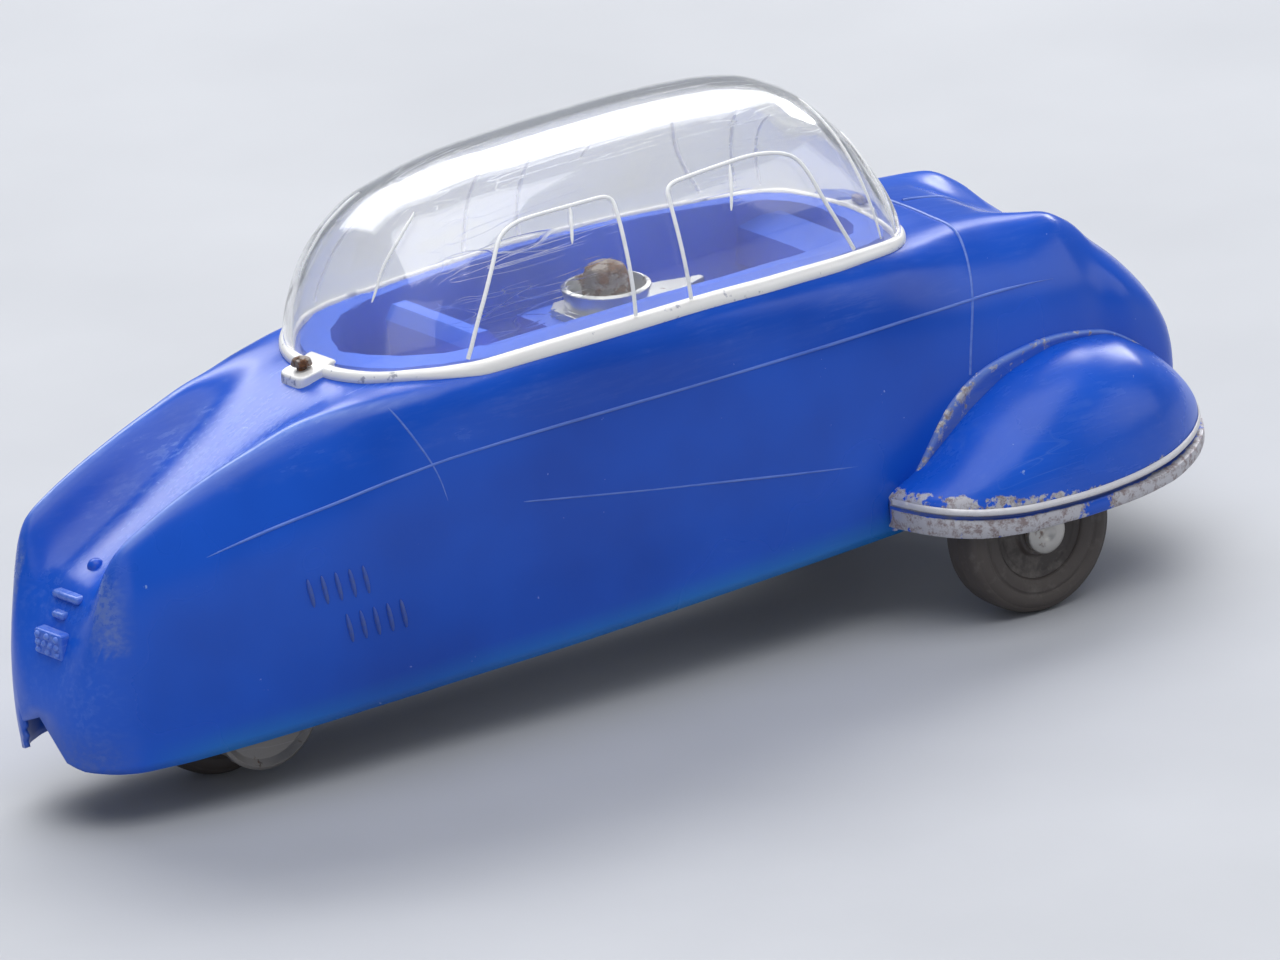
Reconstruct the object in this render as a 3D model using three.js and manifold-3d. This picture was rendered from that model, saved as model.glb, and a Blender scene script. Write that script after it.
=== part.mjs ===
import * as THREE from "three";
import { mergeVertices } from "three/addons/utils/BufferGeometryUtils.js";
import Module from "manifold-3d";

const wasm = await Module();
wasm.setup();

// Toy three-wheeled bubble car with a friction motor, in mm.
// Lengths along the car are counted from the tail (0) to the nose (carLength).
const carLength = 114;
const wallThickness = 1.4;

// wheels
const wheelRadius = 7.5;
const axleRadius = 0.8;
const frontWheelX = 91.0;
const frontWheelInner = 16.3;
const frontWheelOuter = 20.9;
const rearWheelX = 17.7;
const rearWheelHalf = 2.2;
const discRadius = 4.35;
const capRadius = 1.95;

// canopy and cabin
const canopyRear = 30.6;
const canopyFront = 88.4;
const canopyWall = 0.9;
const domePower = 2.15;
const rimHeight = 1.0;
const rimProud = 0.35;
const trayFloorZ = 24.3;

// pressed sheet parts
const sheet = 0.6;
const basePlateZ = 11.0;
const frameInner = 2.75;
const frameSheet = 0.7;

// gear train, module 0.5: rear axle 20 teeth, idler 8 and 20, flywheel 8
const gearModule = 0.5;
const largeTeeth = 20;
const smallTeeth = 8;
const gearDistance = (gearModule * (largeTeeth + smallTeeth)) / 2;
const trainAngle = THREE.MathUtils.degToRad(21.6);
const axlePoint = [rearWheelX, wheelRadius];
const idlerPoint = [
  rearWheelX + gearDistance * Math.cos(trainAngle),
  wheelRadius + gearDistance * Math.sin(trainAngle),
];
const flywheelPoint = [
  rearWheelX + 2 * gearDistance * Math.cos(trainAngle),
  wheelRadius + 2 * gearDistance * Math.sin(trainAngle),
];
const flywheelRadius = 6.0;

// fixing points
const clampX = 61.5;
const clampZ = 30.2;
const rearPinX = 29.4;
const frontPinX = 89.6;

// Body stations: x, then half-section points outward from the middle line as y and z:
// sill, widest part of the side, belt crease, crest of the shoulder, and height on the middle line
const bodyStations = [
  [0.0, 3.0, 5.9, 3.3, 7.6, 3.0, 9.0, 2.1, 10.0, 10.3],
  [0.7, 4.6, 5.3, 5.2, 8.8, 5.0, 11.9, 4.3, 13.2, 13.1],
  [1.5, 5.8, 5.2, 6.4, 10.3, 6.2, 14.6, 5.4, 16.5, 15.5],
  [2.5, 6.8, 5.1, 7.4, 11.3, 7.0, 17.7, 6.0, 20.1, 17.7],
  [3.5, 7.6, 5.1, 8.1, 12.3, 7.7, 20.2, 6.4, 23.3, 19.1],
  [4.5, 8.1, 5.1, 8.6, 12.3, 8.3, 21.3, 6.7, 24.7, 20.3],
  [7.0, 8.6, 5.1, 9.1, 12.8, 8.9, 22.1, 6.9, 26.2, 21.7],
  [12.0, 9.8, 5.4, 10.4, 13.3, 10.0, 23.3, 7.1, 28.4, 24.2],
  [18.0, 10.7, 5.7, 11.3, 13.8, 10.9, 24.4, 7.6, 30.4, 27.4],
  [24.0, 11.2, 5.9, 12.0, 14.3, 11.8, 25.3, 8.3, 31.9, 30.4],
  [30.0, 11.4, 6.0, 12.5, 14.8, 12.4, 26.1, 10.3, 32.3, 32.6],
  [36.0, 11.9, 6.3, 13.1, 15.3, 13.0, 26.7, 11.9, 32.5, 33.3],
  [48.0, 12.8, 6.8, 14.0, 15.3, 14.0, 27.1, 13.0, 32.9, 33.9],
  [60.0, 13.3, 7.3, 14.5, 15.3, 14.5, 27.2, 13.2, 33.0, 34.0],
  [72.0, 13.5, 7.8, 14.8, 15.3, 14.6, 27.2, 12.8, 32.6, 33.6],
  [82.0, 13.6, 8.2, 14.8, 15.3, 14.3, 27.2, 11.9, 32.0, 33.0],
  [88.0, 13.5, 8.4, 14.6, 15.3, 13.9, 27.1, 10.6, 31.6, 32.5],
  [92.0, 13.3, 8.5, 14.3, 15.3, 13.5, 27.0, 9.4, 31.6, 32.3],
  [97.0, 12.9, 8.5, 13.9, 15.3, 13.1, 26.7, 8.6, 31.3, 31.6],
  [102.0, 12.3, 8.4, 13.4, 15.3, 12.6, 25.9, 8.4, 30.8, 28.9],
  [105.0, 11.8, 8.3, 12.9, 15.3, 12.2, 24.6, 8.2, 29.2, 27.3],
  [107.0, 11.5, 8.3, 12.8, 14.8, 12.2, 24.0, 7.9, 27.2, 26.3],
  [109.5, 11.0, 8.3, 12.4, 13.8, 11.9, 22.2, 7.8, 25.0, 24.4],
  [111.5, 10.6, 8.5, 11.9, 13.4, 11.5, 20.2, 7.6, 22.8, 22.2],
  [112.7, 10.0, 8.7, 11.3, 13.1, 10.9, 18.6, 7.2, 21.1, 20.6],
  [113.5, 9.0, 9.0, 10.2, 12.9, 9.8, 17.2, 6.6, 19.6, 19.2],
  [114.0, 7.2, 9.7, 8.2, 12.7, 7.8, 15.8, 5.4, 17.8, 17.6],
];

// Canopy stations: x, half-width at the rim, height of the dome above the rim
const canopyStations = [
  [30.6, 2.6, 0.6], [31.0, 4.2, 2.0], [31.8, 6.0, 4.1], [33.4, 8.2, 7.7], [36.6, 10.7, 11.2],
  [40.6, 12.0, 13.1], [49.0, 12.6, 14.2], [60.0, 12.8, 14.4], [68.0, 12.6, 14.5], [73.5, 12.2, 14.4],
  [77.5, 11.8, 14.0], [80.5, 11.3, 13.0], [83.5, 10.7, 10.6], [86.0, 9.7, 7.1], [87.5, 7.9, 4.1],
  [88.1, 6.2, 2.2], [88.4, 4.6, 0.8],
];

// Fender stations: x, inner edge at the body, outer edge, top of the dome
const fenderStations = [
  [79.6, 13.9, 14.6, 12.2], [80.4, 13.9, 17.4, 12.7], [82.2, 13.9, 20.1, 13.6], [85.0, 13.9, 21.9, 15.5],
  [89.0, 13.9, 22.8, 18.2], [94.0, 13.6, 22.9, 20.3], [99.0, 13.2, 22.5, 21.1], [104.0, 12.4, 21.4, 20.5],
  [108.0, 11.6, 19.5, 18.6], [111.0, 10.8, 17.0, 16.1], [112.8, 10.2, 14.5, 13.9], [113.8, 9.8, 12.3, 12.4],
];

// ---- curves ----

// smooth curve through rows of [x, values...], without overshoot between rows
function curveThrough(rows) {
  const xs = rows.map((row) => row[0]);
  const columns = rows[0].slice(1).map((_, c) => rows.map((row) => row[c + 1]));
  const slopes = columns.map((values) => {
    const d = values.slice(1).map((v, i) => (v - values[i]) / (xs[i + 1] - xs[i]));
    const inner = d.slice(1).map((v, i) => (v * d[i] <= 0 ? 0 : (2 * v * d[i]) / (v + d[i])));
    return [d[0], ...inner, d[d.length - 1]];
  });
  return (x) => {
    let i = xs.findIndex((v) => v >= x);
    i = i < 0 ? xs.length - 2 : Math.max(i - 1, 0);
    const h = xs[i + 1] - xs[i];
    const t = THREE.MathUtils.clamp((x - xs[i]) / h, 0, 1);
    return columns.map((v, c) => {
      const a = 2 * t ** 3 - 3 * t ** 2 + 1;
      const b = t ** 3 - 2 * t ** 2 + t;
      const e = t ** 3 - t ** 2;
      return a * v[i] + (1 - a) * v[i + 1] + h * (b * slopes[c][i] + e * slopes[c][i + 1]);
    });
  };
}

const bodyAt = curveThrough(bodyStations);
const canopyAt = curveThrough(canopyStations);
const fenderAt = curveThrough(fenderStations);
const rimZ = (x) => 34.0 - 0.0016 * (x - 57) ** 2;
const beadZ = (x) => 10.5 + 0.0045 * (x - 96) ** 2;

// quarter of a rounded box outline, from the side (angle 0) to the top
function roundedQuarter(width, height, power, steps) {
  return Array.from({ length: steps + 1 }, (_, i) => {
    const a = (i / steps) * (Math.PI / 2);
    return [width * Math.cos(a) ** (2 / power), height * Math.sin(a) ** (2 / power)];
  });
}

// ---- solids ----

const toSolid = (geometry) => {
  const plain = new THREE.BufferGeometry();
  plain.setAttribute("position", geometry.getAttribute("position"));
  if (geometry.index) plain.setIndex(geometry.index);
  const merged = mergeVertices(plain, 1e-4);
  return new wasm.Manifold(
    new wasm.Mesh({
      numProp: 3,
      vertProperties: new Float32Array(merged.getAttribute("position").array),
      triVerts: new Uint32Array(merged.index.array),
    }),
  );
};

function solidFrom(points, faces) {
  let volume = 0;
  for (const [a, b, c] of faces) {
    const [p, q, r] = [points[a], points[b], points[c]];
    volume += p[0] * (q[1] * r[2] - q[2] * r[1]) - p[1] * (q[0] * r[2] - q[2] * r[0]);
    volume += p[2] * (q[0] * r[1] - q[1] * r[0]);
  }
  const turned = volume > 0 ? faces : faces.map(([a, b, c]) => [a, c, b]);
  const geometry = new THREE.BufferGeometry();
  geometry.setAttribute("position", new THREE.Float32BufferAttribute(points.flat(), 3));
  geometry.setIndex(turned.flat());
  return toSolid(geometry);
}

// skin over rings of [x, y, z] points that all have the same count, closed by a fan at each end
function loft(rings) {
  const n = rings[0].length;
  const points = rings.flat();
  const faces = [];
  for (let r = 0; r + 1 < rings.length; r++) {
    for (let i = 0; i < n; i++) {
      const j = (i + 1) % n;
      const [a, b, c, d] = [r * n + i, r * n + j, (r + 1) * n + j, (r + 1) * n + i];
      faces.push([a, b, c], [a, c, d]);
    }
  }
  for (const [ring, start] of [[rings[0], 0], [rings[rings.length - 1], (rings.length - 1) * n]]) {
    const middle = [0, 1, 2].map((k) => ring.reduce((sum, p) => sum + p[k], 0) / n);
    const centre = points.push(middle) - 1;
    for (let i = 0; i < n; i++) {
      const j = (i + 1) % n;
      faces.push(start ? [centre, start + i, start + j] : [centre, j, i]);
    }
  }
  return solidFrom(points, faces);
}

const box = (x0, x1, y0, y1, z0, z1) =>
  toSolid(
    new THREE.BoxGeometry(x1 - x0, y1 - y0, z1 - z0).translate((x0 + x1) / 2, (y0 + y1) / 2, (z0 + z1) / 2),
  );

// round bar along the car's width, its height or its length
const barY = (x, z, radius, y0, y1, sides = 32) =>
  toSolid(new THREE.CylinderGeometry(radius, radius, y1 - y0, sides).translate(x, (y0 + y1) / 2, z));
const barZ = (x, y, radius, z0, z1, sides = 32) =>
  toSolid(
    new THREE.CylinderGeometry(radius, radius, z1 - z0, sides).rotateX(Math.PI / 2).translate(x, y, (z0 + z1) / 2),
  );

// turned piece: profile of [radius, distance] pairs along +Y, about a line through x and z
const turned = (profile, x, y, z, sides = 32) =>
  toSolid(
    new THREE.LatheGeometry(profile.map(([r, d]) => new THREE.Vector2(r, d)), sides).translate(x, y, z),
  );

// flat outline of [x, z] pairs cut from y0 to y1, and of [x, y] pairs cut from z0 to z1
function cutAcross(outline, y0, y1) {
  const shape = new THREE.Shape(outline.map(([x, z]) => new THREE.Vector2(x, z)));
  const geometry = new THREE.ExtrudeGeometry(shape, { depth: y1 - y0, bevelEnabled: false });
  return toSolid(geometry.rotateX(Math.PI / 2).translate(0, y1, 0));
}
function cutUp(outline, z0, z1) {
  const shape = new THREE.Shape(outline.map(([x, y]) => new THREE.Vector2(x, y)));
  return toSolid(new THREE.ExtrudeGeometry(shape, { depth: z1 - z0, bevelEnabled: false }).translate(0, 0, z0));
}

const union = (...solids) => solids.reduce((a, b) => a.add(b));
const cut = (solid, ...tools) => tools.reduce((a, b) => a.subtract(b), solid);
const mirrored = (solid) => solid.mirror([0, 1, 0]);

// ---- body ----

// half section of the body at x, grown outward; reach lowers the sill for a cutting tool
function bodyRing(x, grow = 0, reach = 0) {
  const [ys, zs, ym, zm, yc, zc, yr, zr, zt] = bodyAt(x);
  const flank = [yr * 0.52, zt + 0.15 * (zr - zt)];
  const corners = [[ys, zs], [ym, zm], [yc, zc], [yr, zr], flank, [0, zt], [-flank[0], flank[1]]];
  const curve = new THREE.CatmullRomCurve3(
    corners.map(([y, z]) => new THREE.Vector3(0, y, z)), false, "centripetal",
  );
  const counts = [3, 3, 4, 2, 2];
  const half = [];
  counts.forEach((count, s) => {
    for (let i = 0; i < count; i++) half.push((s + i / count) / (corners.length - 1));
  });
  half.push(5 / (corners.length - 1));
  const points = half.map((t) => {
    const p = curve.getPoint(t);
    const along = curve.getTangent(t);
    return [Math.max(p.y + grow * along.z, 0.02), p.z - grow * along.y];
  });
  points[points.length - 1][0] = 0;
  if (reach) points[0][1] = zs - reach;
  const left = points.map(([y, z]) => [x, y, z]);
  const right = points.slice(0, -1).reverse().map(([y, z]) => [x, -y, z]);
  return [...left, ...right];
}

const bodyXs = [
  0, 0.35, 0.7, 1.5, 2.5, 3.5, 4.5, 5.5, 7, 9.5, 12, 18, 24, 27, 30, 33, 36, 42, 48, 60, 72, 82, 88, 92, 97,
  99.5, 102, 103.5, 105, 107, 108.2, 109.5, 111.5, 113, 113.6, 114,
];
const bodySkin = (grow) => loft(bodyXs.map((x) => bodyRing(x, grow)));
const hollowXs = bodyXs.filter((x) => x > 5.4 && x < 109.6);
const hollow = loft(hollowXs.map((x) => bodyRing(x, -wallThickness, 4)));

// outline of the canopy rim in plan, moved inward by inset
function rimPlan(inset, steps = 1) {
  const xs = [];
  for (let i = 0; i + 1 < canopyStations.length; i++) {
    for (let k = 0; k < steps; k++) {
      xs.push(canopyStations[i][0] + ((canopyStations[i + 1][0] - canopyStations[i][0]) * k) / steps);
    }
  }
  xs.push(canopyFront);
  const middle = (canopyRear + canopyFront) / 2;
  const shrink = (canopyFront - canopyRear - 2 * inset) / (canopyFront - canopyRear);
  const side = xs.map((x) => {
    const w = canopyAt(x)[0];
    return [middle + (x - middle) * shrink, Math.max(w - inset, 0.4)];
  });
  return [...side, ...side.slice().reverse().map(([x, y]) => [x, -y])];
}

const opening = cutUp(rimPlan(2.0), 20, 40);
const skin = bodySkin(0);
const seatSkin = bodySkin(0.04);

// louvres pressed into the side of the engine bay, two rows on each side
const louvres = [];
for (const side of [-1, 1]) {
  for (const [row, z] of [[0, 16.6], [1, 12.6]]) {
    for (let i = 0; i < 5; i++) {
      const x = 20.2 + row * 3.6 + i * 1.35;
      const y = side * (bodyAt(x)[2] + 0.6);
      louvres.push(box(x, x + 0.5, y - 1.0, y + 1.0, z, z + 2.8));
    }
  }
}

const tailDetails = union(
  turned([[0, 0], [0.75, 0], [0.75, 0.5], [0.5, 0.9], [0, 1]], 0, 0, 0, 16).rotate([90, 0, 0]).translate([6.6, 0, 21.0]),
  box(3.1, 4.7, -1.9, 1.9, 19.0, 19.7),
  box(2.2, 3.8, -0.8, 0.8, 17.7, 18.2),
  box(1.0, 3.0, -1.9, 1.9, 14.5, 16.8),
);

let bodyShell = cut(union(skin, tailDetails), hollow, opening);
bodyShell = cut(
  bodyShell,
  ...louvres,
  barY(frontWheelX, wheelRadius, axleRadius + 0.5, -20, 20),
  barZ(rearPinX, 0, 0.55, 28, 40, 16),
  barZ(frontPinX, 0, 0.55, 28, 40, 16),
);

// ---- front fenders ----

function fenderRing(x, right) {
  const [yi, yo, zt] = fenderAt(x);
  const zb = beadZ(x);
  const root = yi - 1.5;
  const dome = roundedQuarter(yo - root, zt - zb, 2.4, 8).map(([y, z]) => [root + y, zb + z]);
  const section = [
    [6, zb - 2.1], [yo + 0.25, zb - 2.1], [yo + 0.2, zb - 0.85], [yo - 0.15, zb - 0.75],
    [yo - 0.15, zb - 0.45], [yo + 0.35, zb - 0.35], [yo + 0.35, zb + 0.1], ...dome, [6, zt],
  ];
  return section.map(([y, z]) => [x, right ? -y : y, z]);
}
function fenderHollowRing(x) {
  const [yi, yo, zt] = fenderAt(x);
  const zb = beadZ(x);
  const root = yi - 1.5;
  const dome = roundedQuarter(yo - 0.9 - root, zt - 1.1 - zb, 2.4, 7).map(([y, z]) => [root + y, zb + z]);
  return [[3, 4], [yo - 0.9, 4], ...dome, [3, zt - 1.1]].map(([y, z]) => [x, -y, z]);
}
const fenderXs = [79.6, 80, 80.4, 81.2, 82.2, 83.5, 85, 87, 89, 91.5, 94, 96.5, 99, 101.5, 104, 106, 108, 109.5,
  111, 112, 112.8, 113.4, 113.8];
const fenderCavity = loft(fenderXs.filter((x) => x > 80.8 && x < 112.5).map(fenderHollowRing));
const fenderRight = cut(loft(fenderXs.map((x) => fenderRing(x, true))), fenderCavity, bodySkin(0.08), box(70, 115, -9, 9, 0, 40));

// ---- canopy ----

function domeRing(x, inset) {
  const [w, h] = canopyAt(x);
  const z0 = rimZ(x);
  const arch = roundedQuarter(Math.max(w - inset, 0.3), Math.max(h - inset, 0.2), domePower, 6);
  const left = [[Math.max(w - inset, 0.3), -2.5], ...arch].map(([y, z]) => [x, y, z0 + z]);
  return [...left, ...left.slice(0, -1).reverse().map(([a, y, z]) => [a, -y, z])];
}
const canopyXs = [30.6, 31, 31.8, 33.4, 35, 36.6, 38.6, 40.6, 44.5, 49, 54.5, 60, 68, 71, 73.5, 75.5, 77.5, 80.5,
  83.5, 86, 87.5, 88.4];
const domeSkin = loft(canopyXs.map((x) => domeRing(x, 0)));
const domeHollow = loft(canopyXs.filter((x) => x > 31.7 && x < 87.6).map((x) => domeRing(x, canopyWall)));

// white rim: a wider band round the foot of the dome, with a lug for a pin at each end
const rimBand = cutUp(rimPlan(-rimProud), 28, 40).intersect(bodySkin(rimHeight));
const lugs = union(
  cutUp([[28.0, -1.2], [28.6, -1.7], [32.4, -1.7], [32.4, 1.7], [28.6, 1.7], [28.0, 1.2]], 28, 40),
  cutUp([[87.4, -1.7], [90.4, -1.7], [91.0, -1.2], [91.0, 1.2], [90.4, 1.7], [87.4, 1.7]], 28, 40),
).intersect(bodySkin(rimHeight - 0.1));
const canopy = cut(
  union(domeSkin, rimBand, lugs),
  domeHollow,
  seatSkin,
  barZ(rearPinX, 0, 0.55, 28, 40, 16),
  barZ(frontPinX, 0, 0.55, 28, 40, 16),
);

const pin = (x) => {
  const top = bodyAt(x)[8] + rimHeight + 0.15;
  return turned([[0, 0], [0.45, 0], [0.45, 3.6], [0.95, 3.6], [0.8, 4.1], [0.4, 4.3], [0, 4.35]], 0, 0, 0, 20)
    .rotate([90, 0, 0])
    .translate([x, 0, top - 3.6]);
};

// ---- cabin insert: a tray hung on the edge of the opening, with two seats and a dashboard ----

const traySkin = bodySkin(0.6);
const frameOfDeck = cut(seatSkin, opening);
const seat = (x, top) =>
  union(
    box(x, x + 9, -6, 6, trayFloorZ, trayFloorZ + 3),
    cutAcross(
      [[x - 2.6, trayFloorZ], [x + 1.6, trayFloorZ], [x + 0.2, top - 1.2], [x - 0.8, top], [x - 2.2, top],
        [x - 3.0, top - 1.2]], -6, 6),
  );
const cabinInsert = cut(
  union(
    cut(
      union(
        cutUp(rimPlan(2.3), trayFloorZ - 0.9, 40).intersect(traySkin),
        cutUp(rimPlan(1.25), 29, 40).intersect(traySkin),
      ),
      cutUp(rimPlan(3.2), trayFloorZ, 40),
    ),
    seat(45.5, 34.2),
    cutAcross([[80.5, 28.0], [85.0, 28.0], [85.4, 31.6], [84.0, 32.4], [81.0, 31.2]], -7.5, 7.5),
    cutUp([[55.5, -5], [68.5, -5], [68.5, 5], [55.5, 5]], trayFloorZ - 0.4, clampZ),
  ),
  frameOfDeck,
  barZ(clampX, 0, 1.15, 15, 40, 24),
);

// ---- base plate ----

const plateEdge = (x) => bodyAt(x)[0] - wallThickness - 0.45;
const plateXs = [6.0, 7.5, 12, 18, 24, 30, 38, 48, 60, 72, 82, 90, 97, 102, 105, 107.5];
const plateSide = plateXs.map((x) => [x, plateEdge(x)]);
const plateOutline = [...plateSide, ...plateSide.slice().reverse().map(([x, y]) => [x, -y])];
const cheek = (y0) =>
  cutAcross(
    [[frontWheelX - 3.2, basePlateZ + 0.1], [frontWheelX - 2.2, 5.6], [frontWheelX + 2.2, 5.6],
      [frontWheelX + 3.2, basePlateZ + 0.1]], y0, y0 + sheet);
const rivetPoints = [[14.5, 6.1], [41.0, 5.2], [41.0, -5.2]];
const basePlate = cut(
  union(cutUp(plateOutline, basePlateZ, basePlateZ + sheet), cheek(-10.8), cheek(10.2)),
  box(8.8, 38.5, -20, 4.4, 5, 20),
  barY(frontWheelX, wheelRadius, axleRadius + 0.15, -12, 12),
  barZ(clampX, 0, 1.15, 5, 20, 24),
  ...rivetPoints.map(([x, y]) => barZ(x, y, 0.65, 5, 20, 20)),
);

// ---- friction motor ----

const frameOutline = [
  [12.6, 6.0], [13.4, 4.9], [14.8, 4.3], [18.4, 4.4], [26, 7.6], [33, 8.6], [38.6, 9.4], [43.4, 11.6], [43.4, 12.2],
  [38.6, 17.0], [34.0, 18.6], [25.5, 18.6], [22.5, 16.2], [11.6, 16.2], [11.0, 15.6], [11.0, 9.0],
];
const frontPost = [39.0, 14.4];
const frameOuter = frameInner + frameSheet;
const footZ = basePlateZ + sheet;
let motorFrame = union(
  cutAcross(frameOutline, frameInner, frameOuter),
  cutAcross(frameOutline, -frameOuter, -frameInner),
  box(11.0, 22.0, -frameOuter, frameOuter, 15.5, 16.2),
  box(12.4, 16.6, frameInner, 7.4, footZ, footZ + frameSheet),
  box(39.4, 43.2, frameInner, 7.0, footZ, footZ + frameSheet),
  box(39.4, 43.2, -7.0, -frameInner, footZ, footZ + frameSheet),
);
motorFrame = cut(
  motorFrame,
  box(38.4, 45, -10, 10, 8, footZ),
  barY(...axlePoint, axleRadius + 0.12, -5, 5),
  barY(...idlerPoint, 0.62, -5, 5, 20),
  barY(...flywheelPoint, 0.72, -5, 5, 24),
  barY(...frontPost, 0.72, -5, 5, 20),
  ...rivetPoints.map(([x, y]) => barZ(x, y, 0.65, 10, 15, 20)),
);
const rivet = ([x, y]) =>
  turned([[0, 0], [0.6, 0], [0.6, 1.32], [1.15, 1.32], [1.0, 1.75], [0.5, 1.95], [0, 2.0]], 0, 0, 0, 20)
    .rotate([90, 0, 0])
    .translate([x, y, basePlateZ + 0.01]);

// toothed outline about a point, with a tooth centred on the given angle
function gearOutline([cx, cz], teeth, toothAngle) {
  const pitchRadius = (gearModule * teeth) / 2;
  const pitch = (2 * Math.PI) / teeth;
  const places = [
    [-0.5, -0.56], [-0.29, -0.56], [-0.2, 0.02], [-0.1, 0.4], [0.1, 0.4], [0.2, 0.02], [0.29, -0.56],
  ];
  const outline = [];
  for (let k = 0; k < teeth; k++) {
    for (const [step, rise] of places) {
      const a = toothAngle + (k + step) * pitch;
      outline.push([cx + (pitchRadius + rise) * Math.cos(a), cz + (pitchRadius + rise) * Math.sin(a)]);
    }
  }
  return outline;
}
const facing = trainAngle + Math.PI;
const driveGear = cut(
  union(
    cutAcross(gearOutline(axlePoint, largeTeeth, trainAngle), -7.6, -6.2),
    turned([[0, 0], [1.7, 0], [2.2, 0.6], [4.6, 0.6], [5.2, 0.1], [5.5, 0.3], [5.5, 0.8], [0, 0.8]],
      axlePoint[0], -8.3, axlePoint[1]),
    barY(...axlePoint, 1.7, -8.3, -5.2),
  ),
  barY(...axlePoint, axleRadius, -9, -4),
);
const idlerGear = cut(cutAcross(gearOutline(idlerPoint, largeTeeth, trainAngle), -5.1, -3.8), barY(...idlerPoint, 0.62, -9, -3, 20));
const idlerPinion = cut(
  cutAcross(gearOutline(idlerPoint, smallTeeth, facing + Math.PI / smallTeeth), -7.35, -5.1),
  barY(...idlerPoint, 0.62, -9, -3, 20),
);
const flywheelPinion = cut(
  cutAcross(gearOutline(flywheelPoint, smallTeeth, facing + Math.PI / smallTeeth), -5.2, -3.75),
  barY(...flywheelPoint, 0.6, -9, -3, 24),
);

// idler arbor: a stepped rivet in the right side plate, with a head outside the pinion
const idlerArbor = turned(
  [[0, 0], [1.0, 0], [1.0, 0.35], [0.55, 0.35], [0.55, 5.1], [1.0, 5.1], [1.0, 5.45], [0, 5.45]], 0, 0, 0, 20,
).translate([idlerPoint[0], -7.85, idlerPoint[1]]);

// ---- wheels ----

const tyreProfile = (half) => [
  [discRadius, -half + 0.5], [5.0, -half + 0.15], [6.4, -half], [6.95, -half + 0.25], [wheelRadius, -half + 0.8],
  [wheelRadius, half - 0.8], [6.95, half - 0.25], [6.4, half], [5.0, half - 0.15], [discRadius, half - 0.5],
  [discRadius, -half + 0.5],
];
const discProfile = (half) => [
  [axleRadius, -half + 0.2], [2.3, -half + 0.2], [2.6, -half + 0.9], [4.0, -half + 0.75], [discRadius, -half + 0.5],
  [discRadius, half - 0.5], [4.0, half - 0.75], [2.6, half - 0.9], [2.3, half - 0.2], [axleRadius, half - 0.2],
  [axleRadius, -half + 0.2],
];
const frontMiddle = (frontWheelInner + frontWheelOuter) / 2;
const frontHalf = (frontWheelOuter - frontWheelInner) / 2;
const axleCap = cut(
  turned([[0, 0], [1.7, 0], [capRadius, 0.25], [capRadius, 0.7], [1.5, 1.0], [0, 1.15]], 0, 0, 0, 32),
  barY(0, 0, axleRadius, -1, 0.5, 32),
).translate([frontWheelX, frontWheelOuter - 0.2, wheelRadius]);

// ---- clamp in the cabin ----

const clampPost = cut(barZ(clampX, 0, 2.2, footZ, trayFloorZ - 0.9, 28), barZ(clampX, 0, 1.0, 5, 40, 24));
const clampStrip = cut(
  union(
    cutUp(
      [[57.2, -2.4], [58.4, -3.6], [64.2, -3.6], [66.0, -2.2], [71.6, -0.3], [71.6, 0.3], [66.0, 2.2], [64.2, 3.6],
        [58.4, 3.6], [57.2, 2.4]], clampZ, clampZ + 0.7),
    cut(
      turned([[0, 0], [3.4, 0], [3.9, 2.4], [3.5, 2.6], [2.9, 0.7], [0, 0.7]], 0, 0, 0, 36).rotate([90, 0, 0])
        .translate([clampX, 0, clampZ]),
    ),
  ),
  barZ(clampX, 0, 1.15, 20, 40, 24),
);
const clampScrew = turned(
  [[0, 0], [0.9, 0], [0.9, 12.4], [2.1, 12.4], [2.2, 14.4], [1.7, 15.8], [0.8, 16.2], [0, 16.2]], 0, 0, 0, 24,
).rotate([90, 0, 0]).translate([clampX, 0, clampZ + 0.7 - 12.4]);

// ---- materials and nodes ----

const finish = {
  blue: ["blue_styrene", 0x1f55c4, 0, 0.22],
  clear: ["clear_styrene", 0xdfe6ea, 0, 0.08],
  rubber: ["black_rubber", 0x3a3534, 0, 0.75],
  darkPlastic: ["dark_plastic", 0x443d3b, 0, 0.5],
  tin: ["tinplate", 0x9c9a98, 1, 0.4],
  steel: ["steel", 0x8f8f92, 1, 0.35],
  brass: ["brass", 0xb08d57, 1, 0.4],
  zinc: ["zinc_casting", 0x8a8c8f, 1, 0.5],
  rusty: ["rusted_steel", 0x5b3c2c, 0.6, 0.7],
  bright: ["bright_steel", 0xc9c9c9, 1, 0.3],
};

const model = new THREE.Group();
model.name = "friction_bubble_car";

function addNode(name, solid, [material, color, metalness, roughness]) {
  const { vertProperties, triVerts, numProp } = solid.getMesh();
  const geometry = new THREE.BufferGeometry();
  const positions = new Float32Array((vertProperties.length / numProp) * 3);
  for (let i = 0; i < positions.length / 3; i++) {
    for (let k = 0; k < 3; k++) positions[3 * i + k] = vertProperties[numProp * i + k];
  }
  geometry.setAttribute("position", new THREE.BufferAttribute(positions, 3));
  geometry.setIndex(new THREE.BufferAttribute(new Uint32Array(triVerts), 1));
  geometry.translate(-carLength / 2, 0, 0);
  geometry.computeVertexNormals();
  const look = new THREE.MeshStandardMaterial({ color, metalness, roughness, name: material });
  if (name === "canopy") Object.assign(look, { transparent: true, opacity: 0.35 });
  const mesh = new THREE.Mesh(geometry, look);
  mesh.name = name;
  model.add(mesh);
}

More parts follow.
